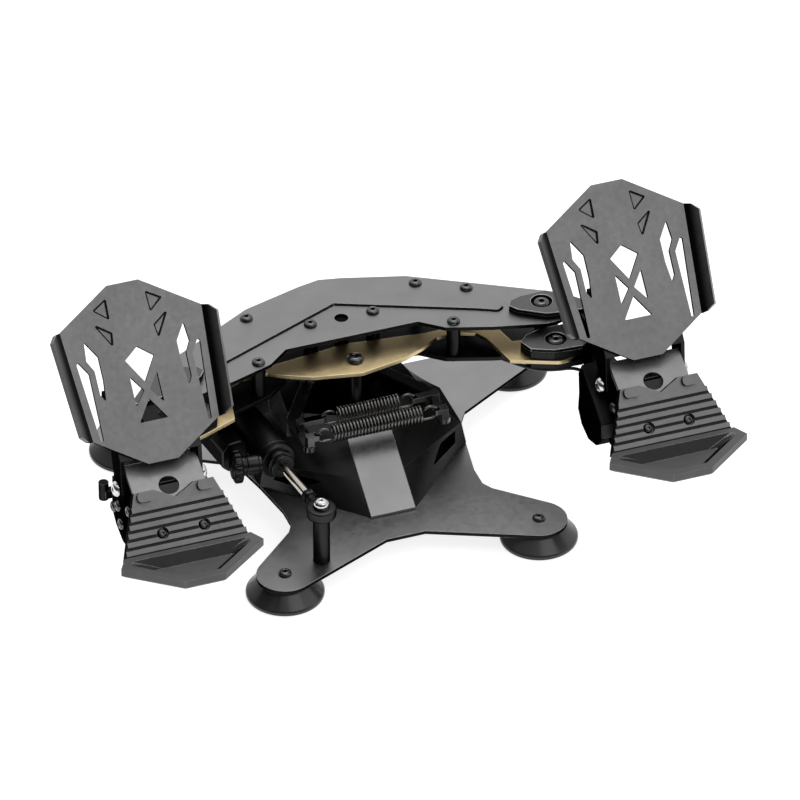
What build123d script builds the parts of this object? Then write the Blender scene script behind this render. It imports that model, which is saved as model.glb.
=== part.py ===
from build123d import *
from math import asin, atan2, cos, degrees, hypot, pi, radians, sin, sqrt, tan
import os

# Rudder pedal set for a home flight simulator, in millimetres, +Z up.
# The user sits on the -Y side. The origin is on the floor, at the middle of the box round the set,
# and the outlines are given from the main shaft, which stands at x = 0, y = pivot_y.

os.makedirs("parts", exist_ok=True)

# Clearances
running_gap = 0.05
slide_gap = 0.15
seat_gap = 0.02
part_gap = 0.4

# Feet and base plate
foot_height = 14
foot_rim_radius = 28
foot_rim_height = 4
foot_top_radius = 17
front_foot_x = 95.5
front_foot_y = -149
rear_foot_x = 146.8
rear_foot_y = 48.2
front_arm_end_radius = 20.4
rear_arm_end_radius = 22
plate_thickness = 3
plate_front_y = -135.5
plate_front_half_width = 14.5
plate_waist_half_width = 72.5
plate_rear_y = 60

# Screws
screw_diameter = 5
screw_head_diameter = 9.5
screw_head_height = 2.8
screw_socket_diameter = 3.2
screw_length = 8
foot_screw_length = 10

# Housing on the base plate
pod_front_y = -108
pod_rear_y = 46
pod_half_width = 78.5
pod_side_y = -46
pod_wall = 3
pod_skirt_height = 18
pod_shoulder_height = 35
pod_height = 45
stripe_half_width = 17
stripe_angle = 35
stripe_thickness = 2.5

# Main shaft, column and bearings
shaft_diameter = 10
shaft_recess = 2
column_diameter = 30
column_height = 51
bearing_outer_diameter = 22
bearing_height = 8

# Rocking beam
beam_top = 115
beam_sheet = 3
beam_lower_top = 88
beam_end_x = 139
beam_end_y = -36
beam_end_radius = 20.5
beam_band_height = 1.5
beam_band_slope = 1.4
beam_corner_radius = 4
standoff_diameter = 10
yaw_limit = 15

# Gold link
link_offset = 29.5
link_top = 98
link_sheet = 3
link_end_radius = 15
link_pin_diameter = 8
link_post_diameter = 10

# Cam and roller arms
cam_diameter = 34
cam_flat = 1.2
cam_height = 10
roller_diameter = 13
roller_height = 9
arm_sheet = 4
arm_width = 13
arm_end_width = 9
arm_pivot_x = 26
arm_pivot_y = 33
arm_pin_diameter = 6
riser_width = 5
riser_depth = 7
hook_tab_width = 6
hook_tab_thickness = 4

# Centring springs
spring_diameter = 13
spring_wire = 1.9
spring_height = 73
spring_hook_radius = 5.2
spring_neck = 6.5
front_spring_y = -75
front_spring_body = 67
front_spring_turns = 13
rear_spring_y = -56
rear_spring_body = 46
rear_spring_turns = 9
spring_eye_diameter = 4.4

# Damper between the post on the base and the pin under the beam
damper_height = 60
post_x = -65.8
post_y = -142.5
post_diameter = 12
ball_diameter = 14
eye_diameter = 21.5
eye_height = 8
rod_diameter = 6.6
damper_pin_x = -85
damper_pin_y = -1
damper_pin_diameter = 8
barrel_diameter = 27
barrel_front = 58
barrel_length = 64
barrel_wall = 3
gland_diameter = 20
gland_length = 8
reservoir_width = 20
reservoir_length = 42
reservoir_depth = 24
reservoir_gap = 1.4
knob_diameter = 24
knob_width = 6
knob_angle = 15
collar_diameter = 14.5
collar_length = 14
piston_thickness = 3

# Pedals
pedal_spacing = 360.8
foot_plate_sheet = 3
foot_plate_angle = 47.8
foot_plate_bottom_y = -137.3
foot_plate_bottom_z = 133.2
flange_height = 11
flange_tilt = 40
pocket_floor = 1.5
slot_corner_radius = 0.5
pocket_corner_radius = 1
toe_axle_y = -128.2
toe_axle_z = 106.4
toe_axle_diameter = 8
toe_head_diameter = 13
cheek_half_width = 26.5
cheek_front_y = -155.5
cheek_sheet = 3
bracket_sheet = 3

# Heel rest
heel_sheet_thickness = 2
heel_top_y = -129.9
heel_top_z = 126.3
heel_slope = 24
heel_hole_diameter = 14.4
block_top_half_width = 29
block_bottom_half_width = 45.4
block_top_y = -160.3
block_top_z = 124.3
block_bottom_y = -189.5
block_bottom_z = 90
block_thickness = 8
block_pad_width = 14
block_notch_depth = 8
block_screw_x = 15.2
block_screw_rise = 14
block_screw_depth = 2
block_screw_diameter = 4
block_screw_head_diameter = 7
block_screw_recess_gap = 0.8
pad_length = 7
pad_corner_radius = 3
pad_height = 3
rib_count = 6
rib_height = 1.6
rib_share = 0.6
rib_margin = 3
tray_length = 38.8
tray_front_half_width = 14.8
tray_half_width = 52
tray_widest_depth = 10.5
tray_sheet_depth = 15.5
tray_top = 92.8
tray_height = 8.4
tray_lip = 5.8
tray_floor = 2
tray_wall_angle = 45
tray_rim = 6

# Pedal carrier over the beam's end
cap_thickness = 3
cap_gap = 0.4
arm_plate_thickness = 2
pivot_diameter = 10
pivot_head_diameter = 12.5
pivot_head_height = 3.5
cap_recess_diameter = 15.5
tower_inner_x = 161
tower_outer_x = 173
front_cap_top = 107
module_thickness = 10.5

# Sensor lead from the base to each pedal
lead_diameter = 2.6

# Places worked out from the sizes above
pedal_x = pedal_spacing / 2
tray_reach = tray_length - block_bottom_y
tray_widest_y = block_bottom_y - tray_widest_depth
pivot_y = (tray_reach - rear_foot_y - foot_rim_radius) / 2
plate_top = foot_height + plate_thickness
pod_top = plate_top + pod_height
lower_plate_bottom = beam_lower_top - beam_sheet
column_top = plate_top + column_height
link_end_x = beam_end_x
link_end_y = beam_end_y - link_offset
standoff_places = [(64.1, 22), (23.6, -0.5), (73.6, -31.8), (96.5, 4.2)]
feet_places = [
    (side * x, y)
    for side in (1, -1)
    for x, y in ((front_foot_x, front_foot_y), (rear_foot_x, rear_foot_y))
]


def level(height):
    """Horizontal plane with its origin on the main shaft's axis."""
    return Plane((0, pivot_y, height))


def side_plane(x):
    """Upright plane at x: its own x runs along -Y, its own y runs up, from the main shaft's axis."""
    return Plane((x, pivot_y, 0), x_dir=(0, -1, 0), z_dir=(-1, 0, 0))


def back(*points):
    """Turn (y, z) pairs into the side plane's own coordinates."""
    return [(-y, z) for y, z in points]


def touch(point, centre, radius, side):
    """Point where the line from a point touches a circle, on its left (1) or its right (-1)."""
    gap = hypot(centre[0] - point[0], centre[1] - point[1])
    way = atan2(centre[1] - point[1], centre[0] - point[0]) + side * asin(radius / gap)
    reach = sqrt(gap**2 - radius**2)
    return (point[0] + reach * cos(way), point[1] + reach * sin(way))


def arm_outline(front, centre, radius, rear):
    """Right half of a plate: front points, a round end touched by both edges, rear points."""
    first = touch(front[-1], centre, radius, -1)
    last = touch(rear[0], centre, radius, 1)
    middle = atan2(first[1] + last[1] - 2 * centre[1], first[0] + last[0] - 2 * centre[0])
    if cos(middle) < 0:
        middle += pi
    tip = (centre[0] + radius * cos(middle), centre[1] + radius * sin(middle))
    Polyline(*front, first)
    ThreePointArc(first, tip, last)
    Polyline(last, *rear)


def strap(start, end, width):
    """Round-ended bar between two points."""
    with Locations(((start[0] + end[0]) / 2, (start[1] + end[1]) / 2)):
        SlotCenterToCenter(
            hypot(end[0] - start[0], end[1] - start[1]),
            width,
            rotation=degrees(atan2(end[1] - start[1], end[0] - start[0])),
        )


def export_pair(piece, label):
    """Write a right-hand piece and its mirror image for the left-hand side."""
    with BuildPart() as twin:
        mirror(piece.part, about=Plane.YZ)
    for side, half in (("right", piece), ("left", twin)):
        half.part.label = f"{side}_{label}"
        export_step(half.part, f"parts/{side}_{label}.step")


def button_screws(places, height, length, flip=1):
    """Button-head screws with a hex socket, their heads standing on the plane at a height."""
    with BuildSketch(level(height)) as heads:
        with Locations(*places):
            Circle(screw_head_diameter / 2)
    extrude(heads.sketch, amount=flip * screw_head_height)
    with BuildSketch(level(height)) as shanks:
        with Locations(*places):
            Circle(screw_diameter / 2)
    extrude(shanks.sketch, amount=-flip * length)
    with BuildSketch(level(height + flip * screw_head_height)) as sockets:
        with Locations(*places):
            RegularPolygon(screw_socket_diameter / 2, 6)
    extrude(sockets.sketch, amount=-flip * (screw_head_height - 1), mode=Mode.SUBTRACT)


# Base plate
with BuildPart() as base_plate:
    with BuildSketch(level(foot_height)) as base_outline:
        with BuildLine():
            arm_outline(
                [(0, plate_front_y), (plate_front_half_width, plate_front_y)],
                (front_foot_x, front_foot_y),
                front_arm_end_radius,
                [(77, -104), (plate_waist_half_width, -96), (plate_waist_half_width, -79), (78, -47)],
            )
            Line((78, -47), (84, -21))
            arm_outline(
                [(84, -21), (90, -11)],
                (rear_foot_x, rear_foot_y),
                rear_arm_end_radius,
                [(92, plate_rear_y), (0, plate_rear_y)],
            )
            mirror(about=Plane.YZ)
        make_face()
        with Locations(*feet_places):
            Circle(screw_diameter / 2 + seat_gap, mode=Mode.SUBTRACT)
    extrude(amount=plate_thickness)
base_plate.part.label = "base_plate"
export_step(base_plate.part, "parts/base_plate.step")

# Feet, each a flared cone on a short upright rim
with BuildPart() as rubber_feet:
    for x, y in feet_places:
        with BuildSketch(Plane((x, pivot_y + y, 0), x_dir=(1, 0, 0), z_dir=(0, -1, 0))):
            with BuildLine():
                Polyline(
                    (screw_diameter / 2 + seat_gap, foot_height),
                    (foot_top_radius, foot_height),
                    (foot_rim_radius - 0.6, foot_rim_height),
                    (foot_rim_radius, foot_rim_height - 1),
                    (foot_rim_radius, 1),
                    (foot_rim_radius - 1, 0),
                    (0, 0),
                    (0, foot_height - foot_screw_length),
                    (screw_diameter / 2 + seat_gap, foot_height - foot_screw_length),
                    close=True,
                )
            make_face()
        revolve(axis=Axis((x, pivot_y + y, 0), (0, 0, 1)))
rubber_feet.part.label = "rubber_feet"
export_step(rubber_feet.part, "parts/rubber_feet.step")

with BuildPart() as foot_screws:
    button_screws(feet_places, plate_top, plate_thickness + foot_screw_length - 0.5)
foot_screws.part.label = "foot_screws"
export_step(foot_screws.part, "parts/foot_screws.step")


# Housing: faceted shell that rises from a wide skirt to a narrow deck
def pod_levels():
    """Right halves of the housing's outlines, from the plate up to the deck."""
    rise = tan(radians(stripe_angle))
    shoulder_front = pod_front_y + pod_shoulder_height / rise
    skirt_front = pod_front_y + pod_skirt_height / rise
    return [
        (0, [(stripe_half_width, pod_front_y), (pod_half_width, pod_side_y), (pod_half_width, 0),
             (50, pod_rear_y)]),
        (pod_skirt_height, [(stripe_half_width, skirt_front), (pod_half_width - 3.5, pod_side_y + 1),
                            (pod_half_width - 3.5, 0), (48, pod_rear_y - 2)]),
        (pod_shoulder_height, [(stripe_half_width, shoulder_front), (56, -40), (57, -8),
                               (44, pod_rear_y - 4)]),
        (pod_height, [(14, -44), (50, -26), (48, -5), (40, pod_rear_y - 6)]),
    ]


def pod_body(inset):
    """Loft through the housing's outlines, drawn in by an inset and lowered by it at the deck."""
    sections = []
    for height, half in pod_levels():
        drop = inset if height == pod_height else 0
        with BuildSketch(level(plate_top + height - drop)) as outline:
            Polygon(*half, *[(-x, y) for x, y in reversed(half)], align=None)
            if inset:
                offset(amount=-inset, kind=Kind.INTERSECTION)
        sections.append(outline.sketch)
    loft(sections, ruled=True)


with BuildPart() as pod_cavity:
    pod_body(pod_wall)

with BuildPart() as stripe_channel:
    with BuildSketch(side_plane(stripe_half_width)) as stripe_profile:
        with BuildLine():
            Polyline(
                *back(
                    (pod_front_y - 1.5, plate_top),
                    (pod_front_y - 1.5, plate_top + 2),
                    (pod_front_y + 1 + pod_shoulder_height / tan(radians(stripe_angle)),
                     plate_top + pod_shoulder_height + 2.5),
                    (-44, pod_top),
                    (-40, pod_top - stripe_thickness),
                    (pod_front_y + 2 + pod_shoulder_height / tan(radians(stripe_angle)),
                     plate_top + pod_shoulder_height - stripe_thickness),
                    (pod_front_y + stripe_thickness + 1, plate_top),
                ),
                close=True,
            )
        make_face()
    extrude(amount=2 * stripe_half_width)

with BuildPart() as pod_housing:
    pod_body(0)
    add(pod_cavity.part, mode=Mode.SUBTRACT)
    with BuildSketch(level(pod_top - 2 * pod_wall)):
        Circle(column_diameter / 2 + part_gap)
        with Locations((0, -link_offset)):
            Circle(link_post_diameter / 2 + seat_gap)
        with Locations((20, -7.5), (-20, -7.5)):
            Circle(4)
        with Locations((arm_pivot_x, arm_pivot_y), (-arm_pivot_x, arm_pivot_y)):
            Circle(arm_pin_diameter / 2 + running_gap)
    extrude(amount=3 * pod_wall, mode=Mode.SUBTRACT)
    add(stripe_channel.part, mode=Mode.SUBTRACT)
    for side in (1, -1):
        skirt_face = Plane(
            (side * 50, pivot_y - 62, plate_top + 9),
            x_dir=(side * 0.72, 0.69, 0),
            z_dir=(side * 0.61, -0.64, 0.47),
        )
        with BuildSketch(skirt_face.offset(-1.5)):
            with BuildLine():
                Polyline((-14, -3), (18, -4), (22, 4), (4, 5), close=True)
            make_face()
        extrude(amount=20, mode=Mode.SUBTRACT)
    with BuildSketch(Plane((0, pivot_y + pod_rear_y + 5, plate_top + 14), x_dir=(-1, 0, 0), z_dir=(0, 1, 0))):
        RectangleRounded(13, 7, 2)
    extrude(amount=-20, mode=Mode.SUBTRACT)
pod_housing.part.label = "pod_housing"
export_step(pod_housing.part, "parts/pod_housing.step")

with BuildPart() as pod_stripe:
    with BuildSketch(side_plane(stripe_half_width - seat_gap)):
        add(stripe_profile.sketch_local)
        offset(amount=-seat_gap, kind=Kind.INTERSECTION)
    extrude(amount=2 * (stripe_half_width - seat_gap))
pod_stripe.part.label = "pod_stripe"
export_step(pod_stripe.part, "parts/pod_stripe.step")

# Socket for the lead to the computer, in the housing's rear wall
socket_z = plate_top + 14
with BuildPart() as inlet_socket:
    with BuildSketch(Plane((0, pivot_y + pod_rear_y - 8, socket_z), x_dir=(-1, 0, 0), z_dir=(0, 1, 0))):
        RectangleRounded(12.6, 6.6, 1.8)
        RectangleRounded(9.4, 3.6, 1.2, mode=Mode.SUBTRACT)
    extrude(amount=9)
    with BuildSketch(Plane((0, pivot_y + pod_rear_y - 8, socket_z), x_dir=(-1, 0, 0), z_dir=(0, 1, 0))):
        RectangleRounded(12.6, 6.6, 1.8)
    extrude(amount=-2)
    with BuildSketch(Plane((0, pivot_y + pod_rear_y - 8, socket_z), x_dir=(-1, 0, 0), z_dir=(0, 1, 0))):
        Rectangle(7, 0.8)
    extrude(amount=6)
    with BuildSketch(level(plate_top)):
        with Locations((0, pod_rear_y - 13)):
            Rectangle(12, 6)
    extrude(amount=16)
inlet_socket.part.label = "inlet_socket"
export_step(inlet_socket.part, "parts/inlet_socket.step")

# Sensor board on four pads inside the housing
with BuildPart() as sensor_board:
    with BuildSketch(level(plate_top + 4)):
        with Locations((38, 4)):
            Rectangle(34, 40)
    extrude(amount=1.6)
    with BuildSketch(level(plate_top)):
        with Locations((24, -12), (52, -12), (24, 20), (52, 20)):
            Circle(2.5)
    extrude(amount=4)
    with BuildSketch(level(plate_top + 5.6)):
        with Locations((35, 2), (45, 14)):
            Rectangle(9, 9)
    extrude(amount=1.8)
sensor_board.part.label = "sensor_board"
export_step(sensor_board.part, "parts/sensor_board.step")

# Column, bearings and shaft of the main pivot
with BuildPart() as bearing_column:
    with BuildSketch(level(plate_top)):
        Circle(column_diameter / 2)
    extrude(amount=column_height)
    with BuildSketch(level(plate_top)):
        Circle(bearing_outer_diameter / 2 - 2)
    extrude(amount=column_height, mode=Mode.SUBTRACT)
    with BuildSketch(level(column_top)):
        Circle(bearing_outer_diameter / 2 + seat_gap)
    extrude(amount=-bearing_height, mode=Mode.SUBTRACT)
    with BuildSketch(level(plate_top)):
        Circle(bearing_outer_diameter / 2 + seat_gap)
    extrude(amount=bearing_height, mode=Mode.SUBTRACT)
bearing_column.part.label = "bearing_column"
export_step(bearing_column.part, "parts/bearing_column.step")

with BuildPart() as main_bearings:
    for bottom in (plate_top, column_top - bearing_height):
        with BuildSketch(level(bottom)):
            Circle(bearing_outer_diameter / 2)
            Circle(shaft_diameter / 2 + running_gap, mode=Mode.SUBTRACT)
        extrude(amount=bearing_height)
main_bearings.part.label = "main_bearings"
export_step(main_bearings.part, "parts/main_bearings.step")

# Shaft with its cam, a disc with two flats, and a flange under the lower plate
cam_bottom = column_top + part_gap
with BuildPart() as cam_shaft:
    with BuildSketch(level(plate_top + 0.5)):
        Circle(shaft_diameter / 2)
    extrude(amount=beam_top - shaft_recess - plate_top - 0.5)
    chamfer(cam_shaft.edges().group_by(Axis.Z)[-1], 0.8)
    with BuildSketch(level(cam_bottom)):
        Circle(cam_diameter / 2)
        Rectangle(cam_diameter - 2 * cam_flat, cam_diameter, mode=Mode.INTERSECT)
    extrude(amount=cam_height)
    with BuildSketch(level(cam_bottom + cam_height)):
        Circle(cam_diameter / 2 - 3)
    extrude(amount=lower_plate_bottom - cam_bottom - cam_height)
cam_shaft.part.label = "cam_shaft"
export_step(cam_shaft.part, "parts/cam_shaft.step")


# Rocking beam: two plates of one outline, posts and screws
def beam_outline(holes):
    """Outline of both beam plates with their screw, shaft and pivot holes."""
    with BuildLine() as edge:
        arm_outline(
            [(0, -22.8), (50, -22.8), (66, -36.3), (98, -47)],
            (beam_end_x, beam_end_y),
            beam_end_radius,
            [(107, 6), (61, 33), (16, 46.5), (0, 49.8)],
        )
        mirror(about=Plane.YZ)
    outline = make_face(edge.edges())
    fillet([corner for corner in outline.vertices() if abs(corner.X) < 108], beam_corner_radius)
    with Locations(*holes):
        Circle(screw_diameter / 2 + seat_gap, mode=Mode.SUBTRACT)
    with Locations((beam_end_x, beam_end_y), (-beam_end_x, beam_end_y)):
        Circle(pivot_diameter / 2 + running_gap, mode=Mode.SUBTRACT)
    Circle(shaft_diameter / 2 + seat_gap, mode=Mode.SUBTRACT)


beam_places = [(side * x, y) for side in (1, -1) for x, y in standoff_places]
with BuildPart() as beam_top_plate:
    with BuildSketch(level(beam_top - beam_sheet)):
        beam_outline(beam_places)
    extrude(amount=beam_sheet)
    with BuildSketch(level(beam_top)):
        with BuildLine():
            Polyline((0, 15.5), (93, -24.5), (108, -32), (114, -28), (112, -19), (50, 16.7), (14, 38), (0, 41.5))
            mirror(about=Plane.YZ)
        band = make_face()
        fillet([corner for corner in band.vertices() if corner.X**2 > 1], beam_corner_radius)
    extrude(amount=beam_band_height)
    chamfer(
        beam_top_plate.edges().group_by(Axis.Z)[-1], beam_band_height - 0.1, length2=beam_band_slope
    )
beam_top_plate.part.label = "beam_top_plate"
export_step(beam_top_plate.part, "parts/beam_top_plate.step")

with BuildPart() as beam_bottom_plate:
    with BuildSketch(level(lower_plate_bottom)):
        beam_outline(beam_places)
    extrude(amount=beam_sheet)
beam_bottom_plate.part.label = "beam_bottom_plate"
export_step(beam_bottom_plate.part, "parts/beam_bottom_plate.step")

standoff_height = beam_top - beam_sheet - beam_lower_top
with BuildPart() as beam_standoffs:
    with BuildSketch(level(beam_lower_top)):
        with Locations(*beam_places):
            Circle(standoff_diameter / 2)
            Circle(screw_diameter / 2 + seat_gap, mode=Mode.SUBTRACT)
    extrude(amount=standoff_height)
beam_standoffs.part.label = "beam_standoffs"
export_step(beam_standoffs.part, "parts/beam_standoffs.step")

with BuildPart() as beam_screws:
    button_screws(beam_places, beam_top, beam_sheet + screw_length)
    button_screws(beam_places, lower_plate_bottom, beam_sheet + screw_length, flip=-1)
beam_screws.part.label = "beam_screws"
export_step(beam_screws.part, "parts/beam_screws.step")

# Pin under the beam that carries the damper's rear eye
with BuildPart() as damper_pin:
    with BuildSketch(level(lower_plate_bottom)):
        with Locations((damper_pin_x, damper_pin_y)):
            Circle(damper_pin_diameter / 2 + 3)
    extrude(amount=-5)
    with BuildSketch(level(lower_plate_bottom)):
        with Locations((damper_pin_x, damper_pin_y)):
            Circle(damper_pin_diameter / 2)
    extrude(amount=damper_height - 8 - lower_plate_bottom)
damper_pin.part.label = "damper_pin"
export_step(damper_pin.part, "parts/damper_pin.step")

# Gold link and its pivot post, which stands through the housing's deck
with BuildPart() as gold_link:
    with BuildSketch(level(link_top - link_sheet)):
        with BuildLine():
            arm_outline(
                [(0, -46), (35, -39), (52, -31), (64, -23), (82, -23.5), (92, -27.5), (97, -36.6),
                 (103.5, -67)],
                (link_end_x, link_end_y),
                link_end_radius,
                [(113, -46), (109, -27), (96, -14), (59, -15.5), (0, -8.5)],
            )
            mirror(about=Plane.YZ)
        make_face()
        with Locations((0, -link_offset)):
            Circle(link_pin_diameter / 2 + running_gap, mode=Mode.SUBTRACT)
        with Locations((link_end_x, link_end_y), (-link_end_x, link_end_y)):
            Circle(pivot_diameter / 2 + running_gap, mode=Mode.SUBTRACT)
    extrude(amount=link_sheet)
gold_link.part.label = "gold_link"
export_step(gold_link.part, "parts/gold_link.step")

with BuildPart() as link_post:
    with BuildSketch(level(plate_top)):
        with Locations((0, -link_offset)):
            Circle(link_post_diameter / 2)
    extrude(amount=link_top - link_sheet - part_gap - plate_top)
    with BuildSketch(level(link_top - link_sheet - part_gap)):
        with Locations((0, -link_offset)):
            Circle(link_pin_diameter / 2)
    extrude(amount=link_sheet + 2 * part_gap)
    with BuildSketch(level(link_top + part_gap)):
        with Locations((0, -link_offset)):
            Circle(pivot_head_diameter / 2)
            RegularPolygon(2.5, 6, mode=Mode.SUBTRACT)
    extrude(amount=pivot_head_height)
link_post.part.label = "link_post"
export_step(link_post.part, "parts/link_post.step")

# Roller arms: flat levers that turn on pins in the deck, with a riser and a tab for each spring hook
arm_bottom = pod_top + 1
roller_x = cam_diameter / 2 + part_gap + roller_diameter / 2
front_hook_x = front_spring_body / 2 + spring_hook_radius + spring_neck
rear_hook_x = rear_spring_body / 2 + spring_hook_radius + spring_neck
riser_x = front_hook_x + spring_wire + 1 + riser_width / 2
with BuildPart() as roller_arm:
    with BuildSketch(level(arm_bottom)):
        strap((arm_pivot_x, arm_pivot_y), (roller_x + 1, 0), arm_width)
        strap((roller_x + 1, 0), (riser_x, -40), arm_end_width)
        strap((riser_x, -40), (riser_x, front_spring_y), arm_end_width)
    extrude(amount=arm_sheet)
    with BuildSketch(level(arm_bottom)):
        with Locations((arm_pivot_x, arm_pivot_y)):
            Circle(arm_pin_diameter / 2)
    extrude(amount=-pod_wall)
    for hook_x, spring_y in ((front_hook_x, front_spring_y), (rear_hook_x, rear_spring_y)):
        with BuildSketch(level(arm_bottom + arm_sheet)):
            with Locations((riser_x, spring_y)):
                Rectangle(riser_width, riser_depth)
        extrude(amount=spring_height - hook_tab_thickness / 2 - arm_bottom - arm_sheet)
        with BuildSketch(level(spring_height - hook_tab_thickness / 2)):
            strap((hook_x, spring_y), (riser_x, spring_y), hook_tab_width)
            with Locations((riser_x, spring_y)):
                Rectangle(riser_width, riser_depth)
            with Locations((hook_x, spring_y)):
                Circle(spring_eye_diameter / 2, mode=Mode.SUBTRACT)
        extrude(amount=hook_tab_thickness)
    with BuildSketch(level(arm_bottom + arm_sheet)):
        with Locations((roller_x, 0)):
            Circle(arm_pin_diameter / 2)
    extrude(amount=roller_height + 1.5)
export_pair(roller_arm, "roller_arm")

with BuildPart() as roller:
    with BuildSketch(level(arm_bottom + arm_sheet + part_gap)):
        with Locations((roller_x, 0)):
            Circle(roller_diameter / 2)
            Circle(arm_pin_diameter / 2 + running_gap, mode=Mode.SUBTRACT)
    extrude(amount=roller_height)
export_pair(roller, "roller")

# Centring springs: one unbroken wire with a round hook at each end
def biarc(start, start_way, end, end_way):
    """Two tangent arcs, or a line, from one point and direction to another."""
    span = end - start
    if start_way.get_angle(end_way) < 0.01 and start_way.get_angle(span) < 0.01:
        Line(start, end)
        return
    ways = start_way + end_way
    square = ways.dot(ways) - 4
    half = -2 * span.dot(ways)
    reach = (-half - sqrt(half**2 - 4 * square * span.dot(span))) / (2 * square)
    first = start + start_way * reach
    second = end - end_way * reach
    joint = (first + second) * 0.5
    TangentArc(start, joint, tangent=start_way)
    TangentArc(joint, end, tangent=(second - first).normalized())


def spring_stations(body, whole_turns, y, height):
    """Points and directions along a spring: hook, coil in quarter turns, and hook."""
    radius = (spring_diameter - spring_wire) / 2
    last = whole_turns + 147 / 360
    pitch = body / 2 / last

    def coil(turn):
        angle = 2 * pi * turn
        place = Vector(pitch * turn, radius * sin(angle), radius * cos(angle))
        way = Vector(pitch / 2 / pi, radius * cos(angle), -radius * sin(angle))
        return place, way.normalized()

    ring_x = body / 2 + spring_neck
    ring = spring_hook_radius
    hook = [(Vector(body / 2 + 3.2, 0, -ring), Vector(1, 0, 0))]
    for degree in (-90, -45, 0, 45, 90, 125):
        angle = radians(degree)
        hook.append((
            Vector(ring_x + ring * cos(angle), 0, ring * sin(angle)),
            Vector(-sin(angle), 0, cos(angle)),
        ))
    hook.append((hook[-1][0] + hook[-1][1] * spring_wire, hook[-1][1]))
    quarters = int(4 * last)
    turns = [-last] + [quarter / 4 for quarter in range(-quarters, quarters + 1)] + [last]
    right = [coil(turn) for turn in turns] + hook
    left = [(Vector(-p.X, -p.Y, p.Z), Vector(w.X, w.Y, -w.Z)) for p, w in reversed(hook)]
    centre = Vector(0, pivot_y + y, height)
    return [(place + centre, way) for place, way in left + right]


def least_gap(stations):
    """Smallest gap between far-off places along a wire, measured on points between the stations."""
    points = []
    for (start, way), (end, _) in zip(stations, stations[1:]):
        bulge = way * (end - start).length * 0.2
        for step in range(4):
            share = step / 4
            points.append(start + (end - start) * share + bulge * (share * (1 - share) * 2))
    return min(
        (points[a] - points[b]).length
        for a in range(len(points))
        for b in range(a + 9, len(points))
    ) - spring_wire


for label, body, turns, y in (
    ("front_spring", front_spring_body, front_spring_turns, front_spring_y),
    ("rear_spring", rear_spring_body, rear_spring_turns, rear_spring_y),
):
    stations = spring_stations(body, turns, y, spring_height)
    with BuildPart() as spring:
        with BuildLine() as wire:
            for (start, start_way), (end, end_way) in zip(stations, stations[1:]):
                biarc(start, start_way, end, end_way)
        with BuildSketch(Plane(stations[0][0], z_dir=stations[0][1])):
            Circle(spring_wire / 2)
        sweep(path=wire.wire())
    spring.part.label = label
    export_step(spring.part, f"parts/{label}.step")
    print(label, "least gap", round(least_gap(stations), 2))

# Damper: everything lies along one level line from the post to the pin under the beam
damper_way = Vector(damper_pin_x - post_x, damper_pin_y - post_y, 0)
damper_length = damper_way.length
damper_way = damper_way.normalized()
damper_side = Vector(0, 0, 1).cross(damper_way)
damper_start = Vector(post_x, pivot_y + post_y, damper_height)


def damper_section(reach, along=0.0):
    """Plane across the damper at a reach from the post, its own x to the outside, its own y up."""
    return Plane(damper_start + damper_way * reach, x_dir=damper_side * -1, z_dir=damper_way).offset(along)


damper_level = Plane(damper_start, x_dir=damper_way, z_dir=(0, 0, 1))

with BuildPart() as damper_post:
    with BuildSketch(level(plate_top)):
        with Locations((post_x, post_y)):
            Circle(post_diameter / 2)
    extrude(amount=damper_height - 6 - plate_top)
damper_post.part.label = "damper_post"
export_step(damper_post.part, "parts/damper_post.step")

with BuildPart() as post_ball:
    with Locations(damper_start):
        Sphere(ball_diameter / 2)
        Box(ball_diameter, ball_diameter, 12, mode=Mode.INTERSECT)
    with BuildSketch(level(damper_height + 6)):
        with Locations((post_x, post_y)):
            Circle(screw_head_diameter / 2)
    extrude(amount=3.4)
    fillet(post_ball.edges().group_by(Axis.Z)[-1], 2.2)
    with BuildSketch(level(damper_height + 9.4)):
        with Locations((post_x, post_y)):
            RegularPolygon(screw_socket_diameter / 2, 6)
    extrude(amount=-2, mode=Mode.SUBTRACT)
post_ball.part.label = "post_ball"
export_step(post_ball.part, "parts/post_ball.step")

nut_reach = 17
with BuildPart() as damper_rod_end:
    with BuildSketch(damper_level.offset(-eye_height / 2)):
        Circle(eye_diameter / 2)
        with Locations((nut_reach / 2, 0)):
            Rectangle(nut_reach, 8.5)
    extrude(amount=eye_height)
    with Locations(damper_start):
        Sphere(ball_diameter / 2 + running_gap, mode=Mode.SUBTRACT)
    with BuildSketch(damper_section(nut_reach)):
        RegularPolygon(5.4, 6)
    extrude(amount=5)
    with BuildSketch(damper_section(nut_reach - 3)):
        Circle(rod_diameter / 2 + seat_gap)
    extrude(amount=10, mode=Mode.SUBTRACT)
damper_rod_end.part.label = "damper_rod_end"
export_step(damper_rod_end.part, "parts/damper_rod_end.step")

barrel_rear = barrel_front + barrel_length
bore_front = barrel_front + gland_length + barrel_wall
bore_rear = barrel_rear - barrel_wall - 1
rod_tip = (bore_front + bore_rear + piston_thickness) / 2
with BuildPart() as damper_rod:
    with BuildSketch(damper_section(nut_reach - 3 + seat_gap)):
        Circle(rod_diameter / 2)
    extrude(amount=rod_tip - nut_reach + 3)
    with BuildSketch(damper_section(rod_tip - piston_thickness)):
        Circle(barrel_diameter / 2 - barrel_wall - slide_gap)
    extrude(amount=piston_thickness)
damper_rod.part.label = "damper_rod"
export_step(damper_rod.part, "parts/damper_rod.step")

# The adjuster stands out of the barrel, turned back a little
knob_way = damper_side.rotate(Axis.Z, -knob_angle)
knob_reach = barrel_front + gland_length + 0.5
knob_plane = Plane(damper_start + damper_way * knob_reach, x_dir=(0, 0, 1), z_dir=knob_way)

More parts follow.
